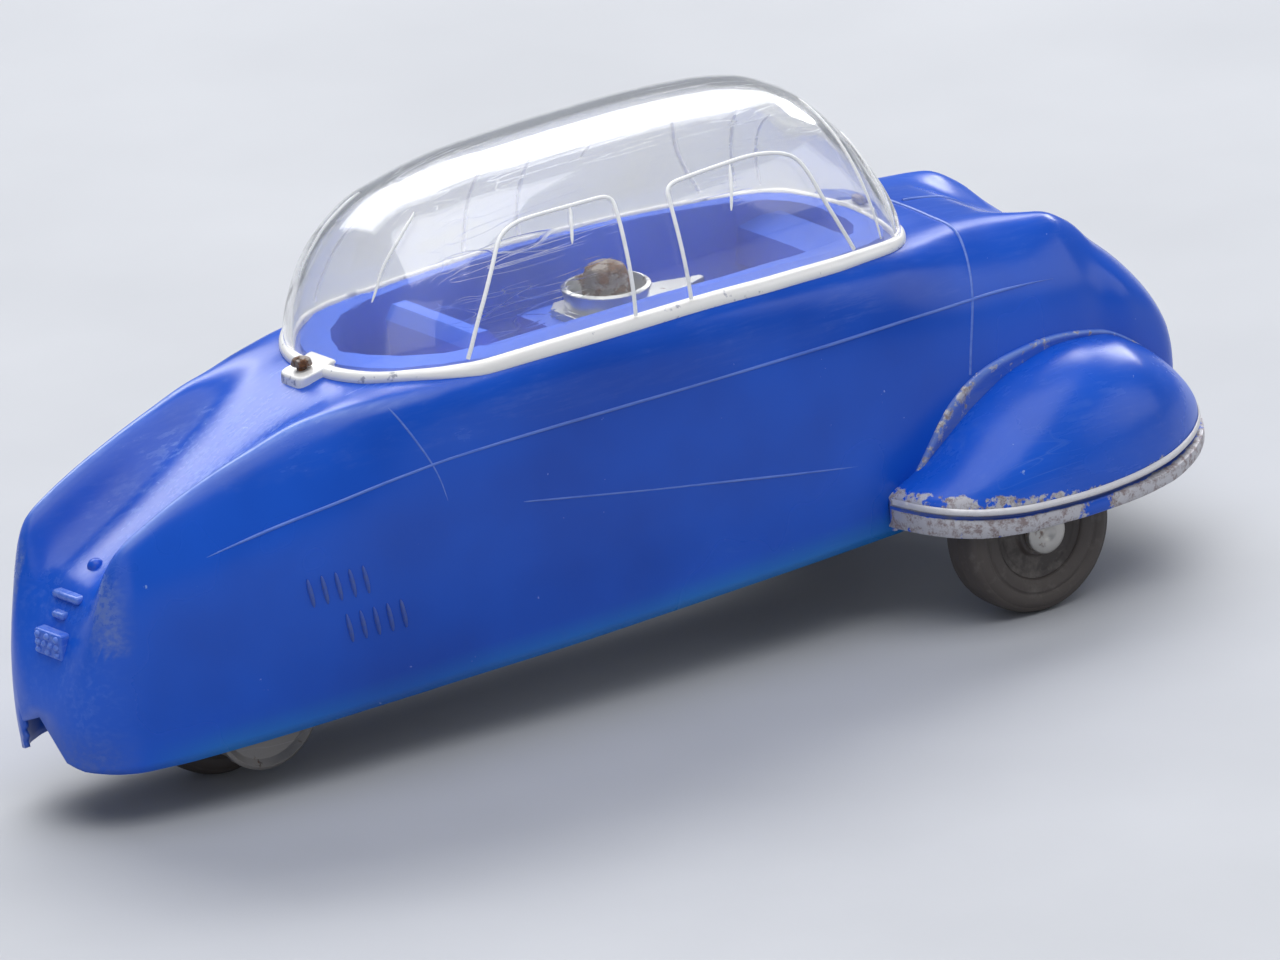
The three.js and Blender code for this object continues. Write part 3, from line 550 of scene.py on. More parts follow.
bodyShape = {
    "wall": 1.4,
    "step": 0.62,
    "counts": (10, 10, 16, 9, 8),
    "stops": (0, 0.35, 0.7, 1.5, 2.5, 3.5, 4.5, 7, 102, 111.5, 112.7, 113.1, 113.5, 113.8),
    "openingInset": 2.05,
    "ripple": 0.035,
    # the break at the tail's foot: its middle and half-size as y and z, how far forward, how ragged
    "notch": {"middle": (0.9, 5.4), "size": (2.4, 3.4), "deep": 1.6, "ragged": 0.16},
    "wallThinner": (0.3, 0.35),  # at the tail and at the nose, as shares of the wall
    # x, then half-section points outward from the middle line as y and z:
    # sill, widest part, belt crease, crest of the shoulder, and height on the middle line
    "stations": [
        [0.0, 3.0, 5.9, 3.3, 7.6, 3.0, 9.0, 2.1, 10.0, 10.3],
        [0.7, 4.6, 5.3, 5.2, 8.8, 5.0, 11.9, 4.3, 13.2, 13.1],
        [1.5, 5.8, 5.2, 6.4, 10.3, 6.2, 14.6, 5.4, 16.5, 15.5],
        [2.5, 6.8, 5.1, 7.4, 11.3, 7.0, 17.7, 6.0, 20.1, 17.7],
        [3.5, 7.6, 5.1, 8.1, 12.3, 7.7, 20.2, 6.4, 23.3, 19.1],
        [4.5, 8.1, 5.1, 8.6, 12.3, 8.3, 21.3, 6.7, 24.7, 20.3],
        [7.0, 8.6, 5.1, 9.1, 12.8, 8.9, 22.1, 6.9, 26.2, 21.7],
        [12.0, 9.8, 5.4, 10.4, 13.3, 10.0, 23.3, 7.1, 28.4, 24.2],
        [18.0, 10.7, 5.7, 11.3, 13.8, 10.9, 24.4, 7.6, 30.4, 27.4],
        [24.0, 11.2, 5.9, 12.0, 14.3, 11.8, 25.3, 8.3, 31.9, 30.4],
        [30.0, 11.4, 6.0, 12.5, 14.8, 12.4, 26.1, 10.3, 32.3, 32.6],
        [36.0, 11.9, 6.3, 13.1, 15.3, 13.0, 26.7, 11.9, 32.5, 33.3],
        [48.0, 12.8, 6.8, 14.0, 15.3, 14.0, 27.1, 13.0, 32.9, 33.9],
        [60.0, 13.3, 7.3, 14.5, 15.3, 14.5, 27.2, 13.2, 33.0, 34.0],
        [72.0, 13.5, 7.8, 14.8, 15.3, 14.6, 27.2, 12.8, 32.6, 33.6],
        [82.0, 13.6, 8.2, 14.8, 15.3, 14.3, 27.2, 11.9, 32.0, 33.0],
        [88.0, 13.5, 8.4, 14.6, 15.3, 13.9, 27.1, 10.6, 31.6, 32.5],
        [92.0, 13.3, 8.5, 14.3, 15.3, 13.5, 27.0, 9.4, 31.6, 32.3],
        [97.0, 12.9, 8.5, 13.9, 15.3, 13.1, 26.7, 8.6, 31.3, 31.6],
        [102.0, 12.3, 8.4, 13.4, 15.3, 12.6, 25.9, 8.4, 30.8, 28.9],
        [105.0, 11.8, 8.3, 12.9, 15.3, 12.2, 24.6, 8.2, 29.2, 27.3],
        [107.0, 11.5, 8.3, 12.8, 14.8, 12.2, 24.0, 7.9, 27.2, 26.3],
        [109.5, 11.0, 8.3, 12.4, 13.8, 11.9, 22.2, 7.8, 25.0, 24.4],
        [111.5, 10.6, 8.5, 11.9, 13.4, 11.5, 20.2, 7.6, 22.8, 22.2],
        [112.7, 10.0, 8.7, 11.3, 13.1, 10.9, 18.6, 7.2, 21.1, 20.6],
        [113.5, 9.0, 9.0, 10.2, 12.9, 9.8, 17.2, 6.6, 19.6, 19.2],
        [114.0, 7.2, 9.7, 8.2, 12.7, 7.8, 15.8, 5.4, 17.8, 17.6],
    ],
}
bodyAt = smoothRows(bodyShape["stations"])


def bodySections(xs):
    # half sections of the body, from the sill up to the middle line, as y and z
    ys, zs, ym, zm, yc, zc, yr, zr, zt = bodyAt(xs).T
    zero, flankY, flankZ = np.zeros_like(ys), yr * 0.52, zt + 0.15 * (zr - zt)
    corners = np.stack([np.stack(c, -1) for c in (
        (ys, zs), (ym, zm), (yc, zc), (yr, zr), (flankY, flankZ), (zero, zt), (-flankY, flankZ))], 1)
    before = 2 * corners[:, :1] - corners[:, 1:2]
    line = np.concatenate([before, corners], 1)
    points = []
    for s, count in enumerate(bodyShape["counts"]):
        p0, p1, p2, p3 = (line[:, s + k] for k in range(4))
        d0, d1, d2 = (np.maximum(np.sum((b - a) ** 2, 1) ** 0.25, 1e-4)[:, None]
                      for a, b in ((p0, p1), (p1, p2), (p2, p3)))
        t1 = ((p1 - p0) / d0 - (p2 - p0) / (d0 + d1) + (p2 - p1) / d1) * d1
        t2 = ((p2 - p1) / d1 - (p3 - p1) / (d1 + d2) + (p3 - p2) / d2) * d1
        for i in range(count + (s == len(bodyShape["counts"]) - 1)):
            t = i / count
            points.append(p1 + t1 * t + (3 * (p2 - p1) - 2 * t1 - t2) * t**2 + (t1 + t2 + 2 * (p1 - p2)) * t**3)
    half = np.stack(points, 1)
    half[:, -1, 0] = 0
    return half


def sideY(x, z):
    # half-width of the body's side at a height, below the crest
    half = bodySections([x])[0][: sum(bodyShape["counts"][:3]) + 1]
    return float(np.interp(z, half[:, 1], half[:, 0]))


def deckZ(x, y):
    # height of the body's top at a distance from the middle line
    half = bodySections([x])[0][sum(bodyShape["counts"][:2]):][::-1]
    return float(np.interp(abs(y), half[:, 0], half[:, 1]))


# canopy outline, which the opening follows too

canopyShape = {
    "power": 2.15,
    "wall": 0.9,
    "rimHeight": 0.82,
    "rimProud": 0.35,
    "lineRadius": 0.19,
    # x, half-width at the rim, height of the dome above the rim
    "stations": [
        [30.6, 2.6, 0.6], [31.0, 4.2, 2.0], [31.8, 6.0, 4.1], [33.4, 8.2, 7.7], [36.6, 10.7, 11.2],
        [40.6, 12.0, 13.1], [49.0, 12.6, 14.2], [60.0, 12.8, 14.4], [68.0, 12.6, 14.5], [73.5, 12.2, 14.4],
        [77.5, 11.8, 14.0], [80.5, 11.3, 13.0], [83.5, 10.7, 10.6], [86.0, 9.7, 7.1], [87.5, 7.9, 4.1],
        [88.1, 6.2, 2.2], [88.4, 4.6, 0.8],
    ],
    "rearWindow": [(38.7, 34.4), (39.9, 37.3), (41.6, 39.9), (43.1, 41.9), (44.3, 43.3), (45.5, 43.9),
                   (47.1, 44.25), (50, 44.3), (53.1, 44.3), (56.3, 44.3), (56.1, 43), (55.7, 39.8),
                   (55.6, 34.3)],
    "frontWindow": [(61.5, 34.3), (61.3, 37.5), (61.3, 40.5), (61.5, 42.5), (61.8, 43.8), (64.5, 43.95),
                    (68, 44), (70.9, 44), (73.3, 43.7), (75, 43.2), (76, 42.5), (76.6, 41.2), (77.3, 38.9),
                    (78.5, 36.4),
                    (79.9, 33.8)],
    "screenEdges": [[(83.9, 42.0), (84.4, 39), (84.8, 36.4), (85.4, 33.5)],
                    [(80.9, 45.4), (81.6, 43.4), (82.2, 40), (82.7, 37), (83.3, 33.7)],
                    [(33.5, 39.4), (35.3, 42.4), (37.7, 44.5), (39.5, 45.7)]],
    "slideMarks": [[(52.1, 44.3), (51.4, 43), (50.8, 41.6)], [(68.9, 43.9), (68.1, 42.3), (67.3, 40.5)]],
}
canopyAt = smoothRows(canopyShape["stations"])


def rimZ(x):
    return 34.0 - 0.0016 * (np.asarray(x, float) - 57) ** 2


def rimOutline(inset, spacing=0.5):
    # the canopy's outline in plan, as a closed loop of even steps
    stops = [row[0] for row in canopyShape["stations"]]
    xs = np.concatenate([np.linspace(a, b, 16)[:-1] for a, b in zip(stops, stops[1:])] + [[stops[-1]]])
    middle, half = (stops[0] + stops[-1]) / 2, (stops[-1] - stops[0]) / 2
    width = np.maximum(canopyAt(xs)[:, 0] - inset, 0.4)
    side = np.stack([middle + (xs - middle) * (half - inset) / half, width], -1)
    loop = np.concatenate([side, side[::-1] * [1, -1], side[:1]])
    length = np.concatenate([[0], np.cumsum(np.hypot(*np.diff(loop, axis=0).T))])
    along = np.linspace(0, length[-1], int(length[-1] / spacing), endpoint=False)
    even = np.stack([np.interp(along, length, loop[:, k]) for k in (0, 1)], -1)
    for _ in range(2):
        even = (np.roll(even, 1, 0) + 2 * even + np.roll(even, -1, 0)) / 4
    return even


def insideOutline(points, outline):
    x, y = points[:, 0][:, None], points[:, 1][:, None]
    a, b = outline, np.roll(outline, -1, 0)
    crosses = (a[:, 1] > y) != (b[:, 1] > y)
    gap = np.where(b[:, 1] == a[:, 1], 1e-9, b[:, 1] - a[:, 1])
    return (crosses & (x < (b[:, 0] - a[:, 0]) * (y - a[:, 1]) / gap + a[:, 0])).sum(1) % 2 == 1


def buildBody():
    length = bodyShape["stations"][-1][0]
    xs = denseBetween([*bodyShape["stops"], length], bodyShape["step"])
    half = bodySections(xs)
    ring = np.concatenate([half, half[:, -2::-1] * [-1, 1]], 1)
    columns = ring.shape[1]
    points = np.concatenate([np.repeat(xs[:, None, None], columns, 1), ring], 2)
    # a moulding is never quite fair: shallow hollows a few hundredths deep
    x, y, z = points[..., 0], points[..., 1], points[..., 2]
    ripple = np.sin(x / 7.3 + y / 5.1) * np.sin(z / 6.1 - x / 11.0) + 0.6 * np.sin(x / 3.9 - z / 4.7 + y / 6.0)
    tangent = np.gradient(points, axis=1)
    outward = np.stack([np.zeros_like(x), tangent[..., 2], -tangent[..., 1]], -1)
    outward /= np.maximum(np.linalg.norm(outward, axis=2, keepdims=True), 1e-9)
    fade = np.clip((x - 3) / 6, 0, 1) * np.clip((length - 4 - x) / 6, 0, 1)
    points = points + outward * (bodyShape["ripple"] * ripple * fade)[..., None]
    flat = points.reshape(-1, 3)
    faces = gridFaces(len(xs), columns)
    centres = flat[np.array(faces)].mean(1)
    opening = insideOutline(centres[:, :2], rimOutline(bodyShape["openingInset"])) & (centres[:, 2] > 26)
    # a piece has broken out of the foot of the tail
    notch = bodyShape["notch"]
    jag = 0.22 * np.sin(centres[:, 1] * 3.1 + 0.6) + 0.2 * np.sin(centres[:, 2] * 4.3 + 1)
    reach = (((centres[:, 1:] - notch["middle"]) / notch["size"]) ** 2).sum(1)
    broken = (centres[:, 0] < notch["deep"] + jag) & (reach < 1 + 2 * jag)
    faces = [face for face, out in zip(faces, opening | broken) if not out]
    first, last = len(flat), len(flat) + 1
    flat = np.concatenate([flat, [[0.0, 0.6, 9.2], [length, 0.0, 13.0]]])
    end = (len(xs) - 1) * columns
    for j in range(columns - 1):
        if flat[j, 2] > 8.3 or flat[j, 1] < -1.2:
            faces.append((first, j, j + 1))
        faces.append((last, end + j + 1, end + j))
    faces.append((last, end, end + columns - 1))
    x, y, z = flat.T
    sill = np.interp(x, xs, half[:, 0, 1])
    crestAt = bodyAt(x)
    across = np.abs(y)
    valley = np.clip(1 - across / 6.5, 0, 1) * bump(x, 17, 9) * (z > 17)
    crestLine = np.exp(-(((across - crestAt[:, 6]) / 0.45) ** 2)) * (np.abs(z - crestAt[:, 7]) < 0.7)
    lens = (np.abs(z - 19.4) < 3.0) * bump(x, 2.6, 0.9) * (across > 5.6)
    tailFoot = np.clip((5 - x) / 4, 0, 1) * np.clip((9.5 - z) / 3, 0, 1)
    tailWall, noseWall = bodyShape["wallThinner"]
    masks = {
        # the lowest 2.6 mm of the side, where the painted glow goes
        "thin": np.clip(1 - (z - sill) / 2.6, 0, 1) * np.clip((x - 4) / 8, 0, 1),
        # deck valley, lamp panel, top and tail end lightened: partly wear, partly painted highlight on the lit
        # deck valley
        "rubbed": np.clip(valley * 1.6 + 0.5 * lens + 0.1 * (z > 28) + 0.2 * bump(x, 1.5, 1.6), 0, 1),
        # a lighter line along the tail's shoulder crest: partly wear, partly painted highlight
        "crest": np.clip(0.75 * crestLine * np.clip((36 - x) / 14, 0, 1) * np.clip((x - 3) / 3, 0, 1), 0, 1),
        "lens": np.clip(lens, 0, 1),
        # greyer towards the foot of the tail
        "dirtAndShade": np.clip(tailFoot * 0.35, 0, 1),
        "wall": np.clip(tailWall + x / 6, tailWall, 1) * np.clip(noseWall + (length - x) / 5, noseWall, 1),
    }
    # the broken edge is ragged
    torn = ((x < notch["deep"] + 0.3) & (z < 8.9) & (np.abs(y - notch["middle"][0]) < 3.2))[:, None]
    rag = np.stack([0 * x, np.sin(z * 5.3 + x * 3) + 0.6 * np.sin(y * 9.1),
                    np.sin(y * 4.7 + 1) + 0.7 * np.sin(y * 8.3 + z)], -1)
    flat = flat + notch["ragged"] * rag * torn
    body = newPiece("body_shell_fine", flat, faces, blueShell, masks=masks, replaces=["body_shell"])
    group = body.vertex_groups.new(name="wall")
    for i, point in enumerate(body.data.attributes["wall"].data):
        group.add([i], point.value, "REPLACE")
    shell = body.modifiers.new("wall", "SOLIDIFY")
    shell.thickness, shell.offset, shell.vertex_group = bodyShape["wall"] * mm, -1, "wall"
    return body


body = buildBody()
print("body shell", len(body.data.polygons), "faces")

# front fenders

fenderShape = {
    "power": 2.4,
    "wall": 0.9,
    "step": 0.6,
    "bead": 0.42,
    "stops": (79.6, 80.0, 80.4, 81.2, 82.2, 83.5, 85, 89, 108, 111, 112, 112.8, 113.4, 113.8),
    "rubbedBack": (95.6, 1.3),  # where on the skirt the silver is worn away, and how far
    # x, inner edge at the body, outer edge, top of the dome
    "stations": [
        [79.6, 13.9, 14.6, 12.2], [80.4, 13.9, 17.4, 12.7], [82.2, 13.9, 20.1, 13.6], [85.0, 13.9, 21.9, 15.5],
        [89.0, 13.9, 22.8, 18.2], [94.0, 13.6, 22.9, 20.3], [99.0, 13.2, 22.5, 21.1], [104.0, 12.4, 21.4, 20.5],
        [108.0, 11.6, 19.5, 18.6], [111.0, 10.8, 17.0, 16.1], [112.8, 10.2, 14.5, 13.9], [113.8, 9.8, 12.3, 12.4],
    ],
}
fenderAt = smoothRows(fenderShape["stations"])


def beadZ(x):
    return 10.5 + 0.0045 * (x - 96) ** 2


def fenderSection(x):
    # closed section: over the dome, round the bead, down the skirt and back up inside
    yi, yo, zt = fenderAt(x)[0]
    zb, root = beadZ(x), yi - 1.5
    flare = 0.18 + 0.5 * min(max((x - 97) / 8, 0), 1)
    drop = 0.35 * min(max((92 - x) / 8, 0), 1)
    dome = quarterArch(yo - root, zt - zb, fenderShape["power"], 34)[::-1] + [root, zb]
    r = fenderShape["bead"]
    turns = np.radians([70, 45, 20, -5, -30, -55, -80])
    bead = np.stack([yo - 0.08 + r * np.cos(turns), zb - 0.1 + 0.85 * r * np.sin(turns)], -1)
    skirt = [(yo - 0.34, zb - 0.58), (yo - 0.3, zb - 0.72), (yo + 0.12, zb - 0.8), (yo + flare, zb - 0.95),
             (yo + flare + 0.06, zb - 1.4), (yo + flare, zb - 1.95 - drop),
             (yo + flare - 0.14, zb - 2.1 - drop), (yo - 0.5, zb - 2.1 - drop)]
    wall = min(fenderShape["wall"], 0.42 * (zt - zb), 0.5 * (yo - root))
    inside = quarterArch(max(yo - wall - root, 0.2), max(zt - wall * 1.1 - zb, 0.1), fenderShape["power"], 14)
    inside = inside + [root, zb]
    lower = [(max(yo - wall, root + 0.2), zb - 1.95)]
    outline = np.array([*dome, *bead, *skirt, *lower, *inside])
    # the silver runs up over the foot of the dome, further at the back than at the nose
    reach = 1.55 - 1.0 * min(max((x - 86) / 14, 0), 1)
    foot = np.clip((zb + reach - dome[:, 1]) / 0.5, 0, 1) * 0.52
    # the 1.25 on the bead's top carries its painted highlight
    silver = np.concatenate([foot, [1.25] * 5, [0.9, 0.5, 0.15, 0.1, 0.6, 0.72, 0.75, 0.7, 0.66, 0.5, 0.3],
                             np.zeros(len(inside))])
    # painted shade: greyed in the groove under the bead and over the fender's underside
    groove = np.concatenate([np.zeros(len(dome) + 4), [0.1, 0.8, 1, 1, 1, 0.3, 0, 0, 0, 0.2, 0.4, 0.5],
                             np.full(len(inside), 0.6)])
    return outline, silver, groove


def buildFender(side, sign):
    xs = denseBetween(fenderShape["stops"], fenderShape["step"])
    sections = [fenderSection(x) for x in xs]
    count = len(sections[0][0])
    points = np.array([[(x, sign * y, z) for y, z in s[0]] for x, s in zip(xs, sections)]).reshape(-1, 3)
    silver = np.concatenate([s[1] for s in sections])
    groove = np.concatenate([s[2] for s in sections])
    faces = gridFaces(len(xs), count, closed=True, capped=True)
    x, y, z = points.T
    silver = silver * (1 - 0.85 * bump(x, *fenderShape["rubbedBack"]) * (z < beadZ(x) - 0.7))
    # painted shade in the groove and underside, and a faint overall scuff
    masks = {"silver": silver, "dirtAndShade": groove * 0.9, "rubbed": 0.1}
    return newPiece(f"fender_{side}", points, faces, blueShell, masks=masks, sharpAngle=42,
                    replaces=[f"front_fender_{side}"])


buildFender("right", -1)
buildFender("left", 1)
print("fenders")

# raised lines and beads: a half-round strip that follows a path over a surface


def sweptBeadTree():
    n, given, out = newTree(
        "sweptBead", "GeometryNodeTree",
        {"Path": ("Geometry", None), "Radius": ("Float", 0.0002), "Step": ("Float", 0.0004),
         "Sides": ("Int", 10), "Finish": ("Material", None)},
        {"Bead": "Geometry"},
    )
    even = n.add("GeometryNodeResampleCurve", {"Curve": given["Path"], "Length": given["Step"]}, mode="LENGTH")
    ring = n.add("GeometryNodeCurvePrimitiveCircle", {"Resolution": given["Sides"], "Radius": given["Radius"]},
                 mode="RADIUS")
    swell = n.add("GeometryNodeInputRadius")
    swept = n.add("GeometryNodeCurveToMesh", {"Curve": even.outputs[0], "Profile Curve": ring.outputs[0],
                                              "Scale": swell.outputs[0], "Fill Caps": True})
    return closeTree(n, swept, given["Finish"], out)


def closeTree(n, grown, finish, out):
    # every shape tree ends alike: smooth, real and with its finish on
    real = n.add("GeometryNodeRealizeInstances", {"Geometry": grown.outputs[0]})
    smooth = n.add("GeometryNodeSetShadeSmooth", {"Geometry": real.outputs[0]})
    again = n.add("GeometryNodeRealizeInstances", {"Geometry": smooth.outputs[0]})
    painted = n.add("GeometryNodeSetMaterial", {"Geometry": again.outputs[0], "Material": finish})
    n.tree.links.new(painted.outputs[0], out.inputs[0])
    return n.tree


def grownPiece(name, source, tree, values, masks):
    # runs a geometry tree on source and keeps its result as a plain mesh
    modifier = source.modifiers.new("grow", "NODES")
    modifier.node_group = tree
    sockets = {s.name: s.identifier for s in tree.interface.items_tree if s.in_out == "INPUT"}
    for key, value in values.items():
        modifier[sockets[key]] = value
    bpy.context.view_layer.update()
    graph = bpy.context.evaluated_depsgraph_get()
    mesh = bpy.data.meshes.new_from_object(source.evaluated_get(graph), depsgraph=graph)
    mesh.name = name
    bpy.data.objects.remove(source)
    piece = linked(name, mesh)
    finishMesh(piece)
    setMasks(mesh, masks)
    return rideOn(piece, "chassis")


def pathCurve(paths):
    # poly curves through rows of x, y, z and thickness
    data = bpy.data.curves.new("paths", "CURVE")
    data.dimensions = "3D"
    for rows in paths:
        rows = np.array(rows, float)
        spline = data.splines.new("POLY")
        spline.points.add(len(rows) - 1)
        places = np.column_stack([toFrame(rows[:, :3]), np.ones(len(rows))])
        spline.points.foreach_set("co", places.ravel())
        spline.points.foreach_set("radius", rows[:, 3])
    return linked("paths", data)


def rounded(points, times=3):
    # cuts the corners of an open path
    p = np.array(points, float)
    for _ in range(times):
        cut = np.stack([0.75 * p[:-1] + 0.25 * p[1:], 0.25 * p[:-1] + 0.75 * p[1:]], 1)
        p = np.concatenate([p[:1], cut.reshape(-1, 2), p[-1:]])
    return p


sweptBead = sweptBeadTree()


def beads(name, paths, radius, material, masks):
    return grownPiece(name, pathCurve(paths), sweptBead,
                      {"Radius": radius * mm, "Step": 0.35 * mm, "Sides": 10, "Finish": material}, masks)


bodyLines = {
    "radius": 0.17,
    "belt": (8.4, 99.7),
    "lower": [(41.8, 21.2), (50, 19.9), (60, 18.3), (70, 16.7), (80.7, 15.1)],
    "rearPanel": [(30.5, 32.0), (31.8, 29.5), (33.7, 26.0), (34.6, 22.5)],
    "cowl": [(92.3, 31.4), (91.4, 29.5), (90.2, 26.6), (89.3, 23.5), (88.9, 20.8)],
    "hoodRidge": (93.5, 104.0),
}


def onSide(points, sign, thick, sink=0.05):
    p = rounded(points)
    ends = np.sin(np.linspace(0, np.pi, len(p))) ** 0.35
    return [(x, sign * (sideY(x, z) - sink), z, thick * max(e, 0.25)) for (x, z), e in zip(p, ends)]


def bodyBeads():
    paths = []
    corner = bodyShape["counts"][0] + bodyShape["counts"][1]
    for sign in (1, -1):
        xs = np.linspace(*bodyLines["belt"], 120)
        crease = bodySections(xs)[:, corner]
        fade = np.clip(np.minimum((xs - xs[0]) / 8, (xs[-1] - xs) / 6), 0.15, 1)
        paths.append([(x, sign * (y - 0.05), z, 0.9 * f) for x, (y, z), f in zip(xs, crease, fade)])
        for key in ("lower", "rearPanel"):
            paths.append(onSide(bodyLines[key], sign, 0.75))
    # the cowl seam runs from one side over the top to the other
    side = rounded(bodyLines["cowl"])
    crest = [(92.3 + 0.25 * math.sin(t), 9.4 * math.cos(t)) for t in np.linspace(0.1, math.pi / 2, 14)]
    nearSide = [(x, -(sideY(x, z) - 0.05), z, 1.0) for x, z in side[::-1]]
    top = [(x, -y, deckZ(x, y) - 0.02, 1.15) for x, y in crest]
    farTop = [(x, -y, z, r) for x, y, z, r in top[-2::-1]]
    farSide = [(x, -y, z, r) for x, y, z, r in nearSide[::-1]]
    paths.append([(x, y, z, 0.85 * r) for x, y, z, r in nearSide + top + farTop + farSide])
    xs = np.linspace(*bodyLines["hoodRidge"], 30)
    paths.append([(x, 0, deckZ(x, 0) - 0.05, 1.1) for x in xs])
    # the raised lines are lightened along their length: partly wear, partly painted highlight where they catch
    # the light
    beads("body_lines", paths, bodyLines["radius"], blueShell, {"crest": 0.5})


bodyBeads()


flangeShape = {
    "proud": 0.905,
    # share of the width and height over the body
    "across": [(0.0, -0.5), (0.0, 0.12), (0.05, 0.3), (0.12, 0.42), (0.22, 0.38), (0.35, 0.28), (0.6, 0.24),
               (1.0, 0.22), (1.0, -0.5)],
    # the band's edge on the body, then its edge under the fender, as x and z from the bottom up and round
    "outer": [(80.2, 8.6), (80.9, 11.2), (82.4, 13.7), (84.7, 17.0), (86.5, 19.1), (89.5, 20.9), (93.8, 21.7),
              (98.6, 21.95), (103.7, 20.95), (106.1, 19.9), (109.5, 17.4), (112.0, 14.7), (113.2, 12.6)],
    "inner": [(82.2, 8.8), (82.9, 10.6), (84.2, 12.4), (86.8, 14.9), (89.0, 17.0), (91.5, 18.6), (94.5, 19.7),
              (98.6, 20.4), (103.0, 19.7), (105.2, 18.8), (108.4, 16.6), (110.8, 14.2), (112.4, 12.2)],
}


def buildFlange(side, sign):
    # a thin lip on the body's side that frames the fender, wide at the back and narrow over the top
    outer, inner = rounded(flangeShape["outer"], 3), rounded(flangeShape["inner"], 3)
    across = flangeShape["across"]
    points, silver, crest, lens = [], [], [], []
    for (xa, za), (xb, zb) in zip(outer, inner):
        for t, up in across:
            x, z = xa + (xb - xa) * t, za + (zb - za) * t
            y = sideY(min(x, 113.6), z)
            points.append((x, sign * (y + up * flangeShape["proud"]), z))
            rear = min(max((92 - xa) / 8, 0), 1)
            edge = 0 < t < 0.25
            silver.append((0.38 if edge else 0.31) + 0.03 * rear)
            # the flange's raised edge is lightened: partly wear, partly painted highlight
            crest.append(0.75 if edge else 0.2)
            lens.append(0.85 * rear + 0.2)
    faces = gridFaces(len(outer), len(across), closed=True, capped=True)
    return newPiece(f"fender_flange_{side}", points, faces, blueShell, sharpAngle=60,
                    masks={"silver": silver, "crest": crest, "lens": lens})


buildFlange("right", -1)
buildFlange("left", 1)
print("body and fender lines")

# louvres pressed in two staggered rows on each side of the engine bay

louvreRows = {
    "rows": [(20.2, 16.6), (23.8, 12.6)],
    "count": 5,
    "pitch": 1.35,
    "height": 2.8,
    "width": 0.42,
    "proud": 0.3,
    "lean": 12,
    # the louvres are greyed all over: painted shade for the dark strokes of their slots
    "dirtAndShade": 0.6,
}


def raisedDomeTree():
    n, given, out = newTree(
        "louvreRow", "GeometryNodeTree",
        {"Places": ("Geometry", None), "Width": ("Float", 0.0004), "Height": ("Float", 0.0028),
         "Proud": ("Float", 0.0002), "Lean": ("Float", 0.0), "Finish": ("Material", None)},
        {"Louvres": "Geometry"},
    )
    blade = n.add("GeometryNodeMeshUVSphere", {"Segments": 14, "Rings": 9, "Radius": 1.0})
    size = n.add("ShaderNodeCombineXYZ", {0: n.times(given["Width"], 0.5), 1: given["Proud"],
                                          2: n.times(given["Height"], 0.5)})
    sized = n.add("GeometryNodeTransform", {"Geometry": blade.outputs["Mesh"], "Scale": size.outputs[0]})
    lean = n.add("ShaderNodeCombineXYZ", {1: given["Lean"]})
    shaped = n.add("GeometryNodeTransform", {"Geometry": sized.outputs[0], "Rotation": lean.outputs[0]})
    outward, mirror = (n.add("GeometryNodeInputNamedAttribute", {"Name": key}, data_type="FLOAT_VECTOR")
                       for key in ("outward", "mirror"))
    turn = n.add("FunctionNodeAlignRotationToVector", {"Vector": outward.outputs["Attribute"]}, axis="Y",
                 pivot_axis="AUTO")
    placed = n.add("GeometryNodeInstanceOnPoints", {
        "Points": given["Places"], "Instance": shaped.outputs[0], "Rotation": turn.outputs[0],
        "Scale": mirror.outputs["Attribute"]})
    return closeTree(n, placed, given["Finish"], out)


raisedDomes = raisedDomeTree()


def placesOn(points, outward, mirror):
    mesh = bpy.data.meshes.new("places")
    mesh.from_pydata([tuple(p) for p in toFrame(points)], [], [])
    for key, values in (("outward", outward), ("mirror", mirror)):
        mesh.attributes.new(key, "FLOAT_VECTOR", "POINT").data.foreach_set("vector", np.ravel(values))
    return linked("places", mesh)


def buildLouvres():
    look, points, outward, mirror = louvreRows, [], [], []
    for sign in (-1, 1):
        for start, z in look["rows"]:
            for i in range(look["count"]):
                x, middle = start + 0.25 + i * look["pitch"], z + look["height"] / 2
                slope = sideY(x, middle + 0.5) - sideY(x, middle - 0.5)
                points.append((x, sign * (sideY(x, middle) + 0.02), middle))
                outward.append(Vector((0, sign, -slope)).normalized())
                mirror.append((-sign, 1.0, 1.0))
    sizes = {key.title(): look[key] * mm for key in ("width", "height", "proud")}
    grownPiece("louvres", placesOn(points, outward, mirror), raisedDomes,
               {**sizes, "Lean": math.radians(look["lean"]), "Finish": blueShell}, {"dirtAndShade": look["dirtAndShade"]})


buildLouvres()
print("louvres")

# canopy: clear dome, painted rim, raised window lines


def domeY(x, z):
    w, h = canopyAt(x)[0]
    rise = np.clip((z - rimZ(x)) / h, 0, 1)
    return float(w * (1 - rise ** canopyShape["power"]) ** (1 / canopyShape["power"]))


def buildDome():
    stops = [row[0] for row in canopyShape["stations"]]
    xs = np.concatenate([denseBetween(stops[:5], 0.2), denseBetween(stops[4:11], 0.8)[1:],
                         denseBetween(stops[10:], 0.25)[1:]])
    rings = []
    for x in xs:
        w, h = canopyAt(x)[0]
        left = np.concatenate([[[w, -0.75]], quarterArch(w, h, canopyShape["power"], 36)])
        ring = np.concatenate([left, left[-2::-1] * [-1, 1]])
        rings.append(np.column_stack([np.full(len(ring), x), ring[:, 0], rimZ(x) + ring[:, 1]]))
    faces = gridFaces(len(xs), len(rings[0]), capped=True)
    dome = newPiece("canopy_dome", np.concatenate(rings), faces, clearDome, replaces=["canopy"])
    wall = dome.modifiers.new("wall", "SOLIDIFY")
    wall.thickness, wall.offset = canopyShape["wall"] * mm, -1
    return dome


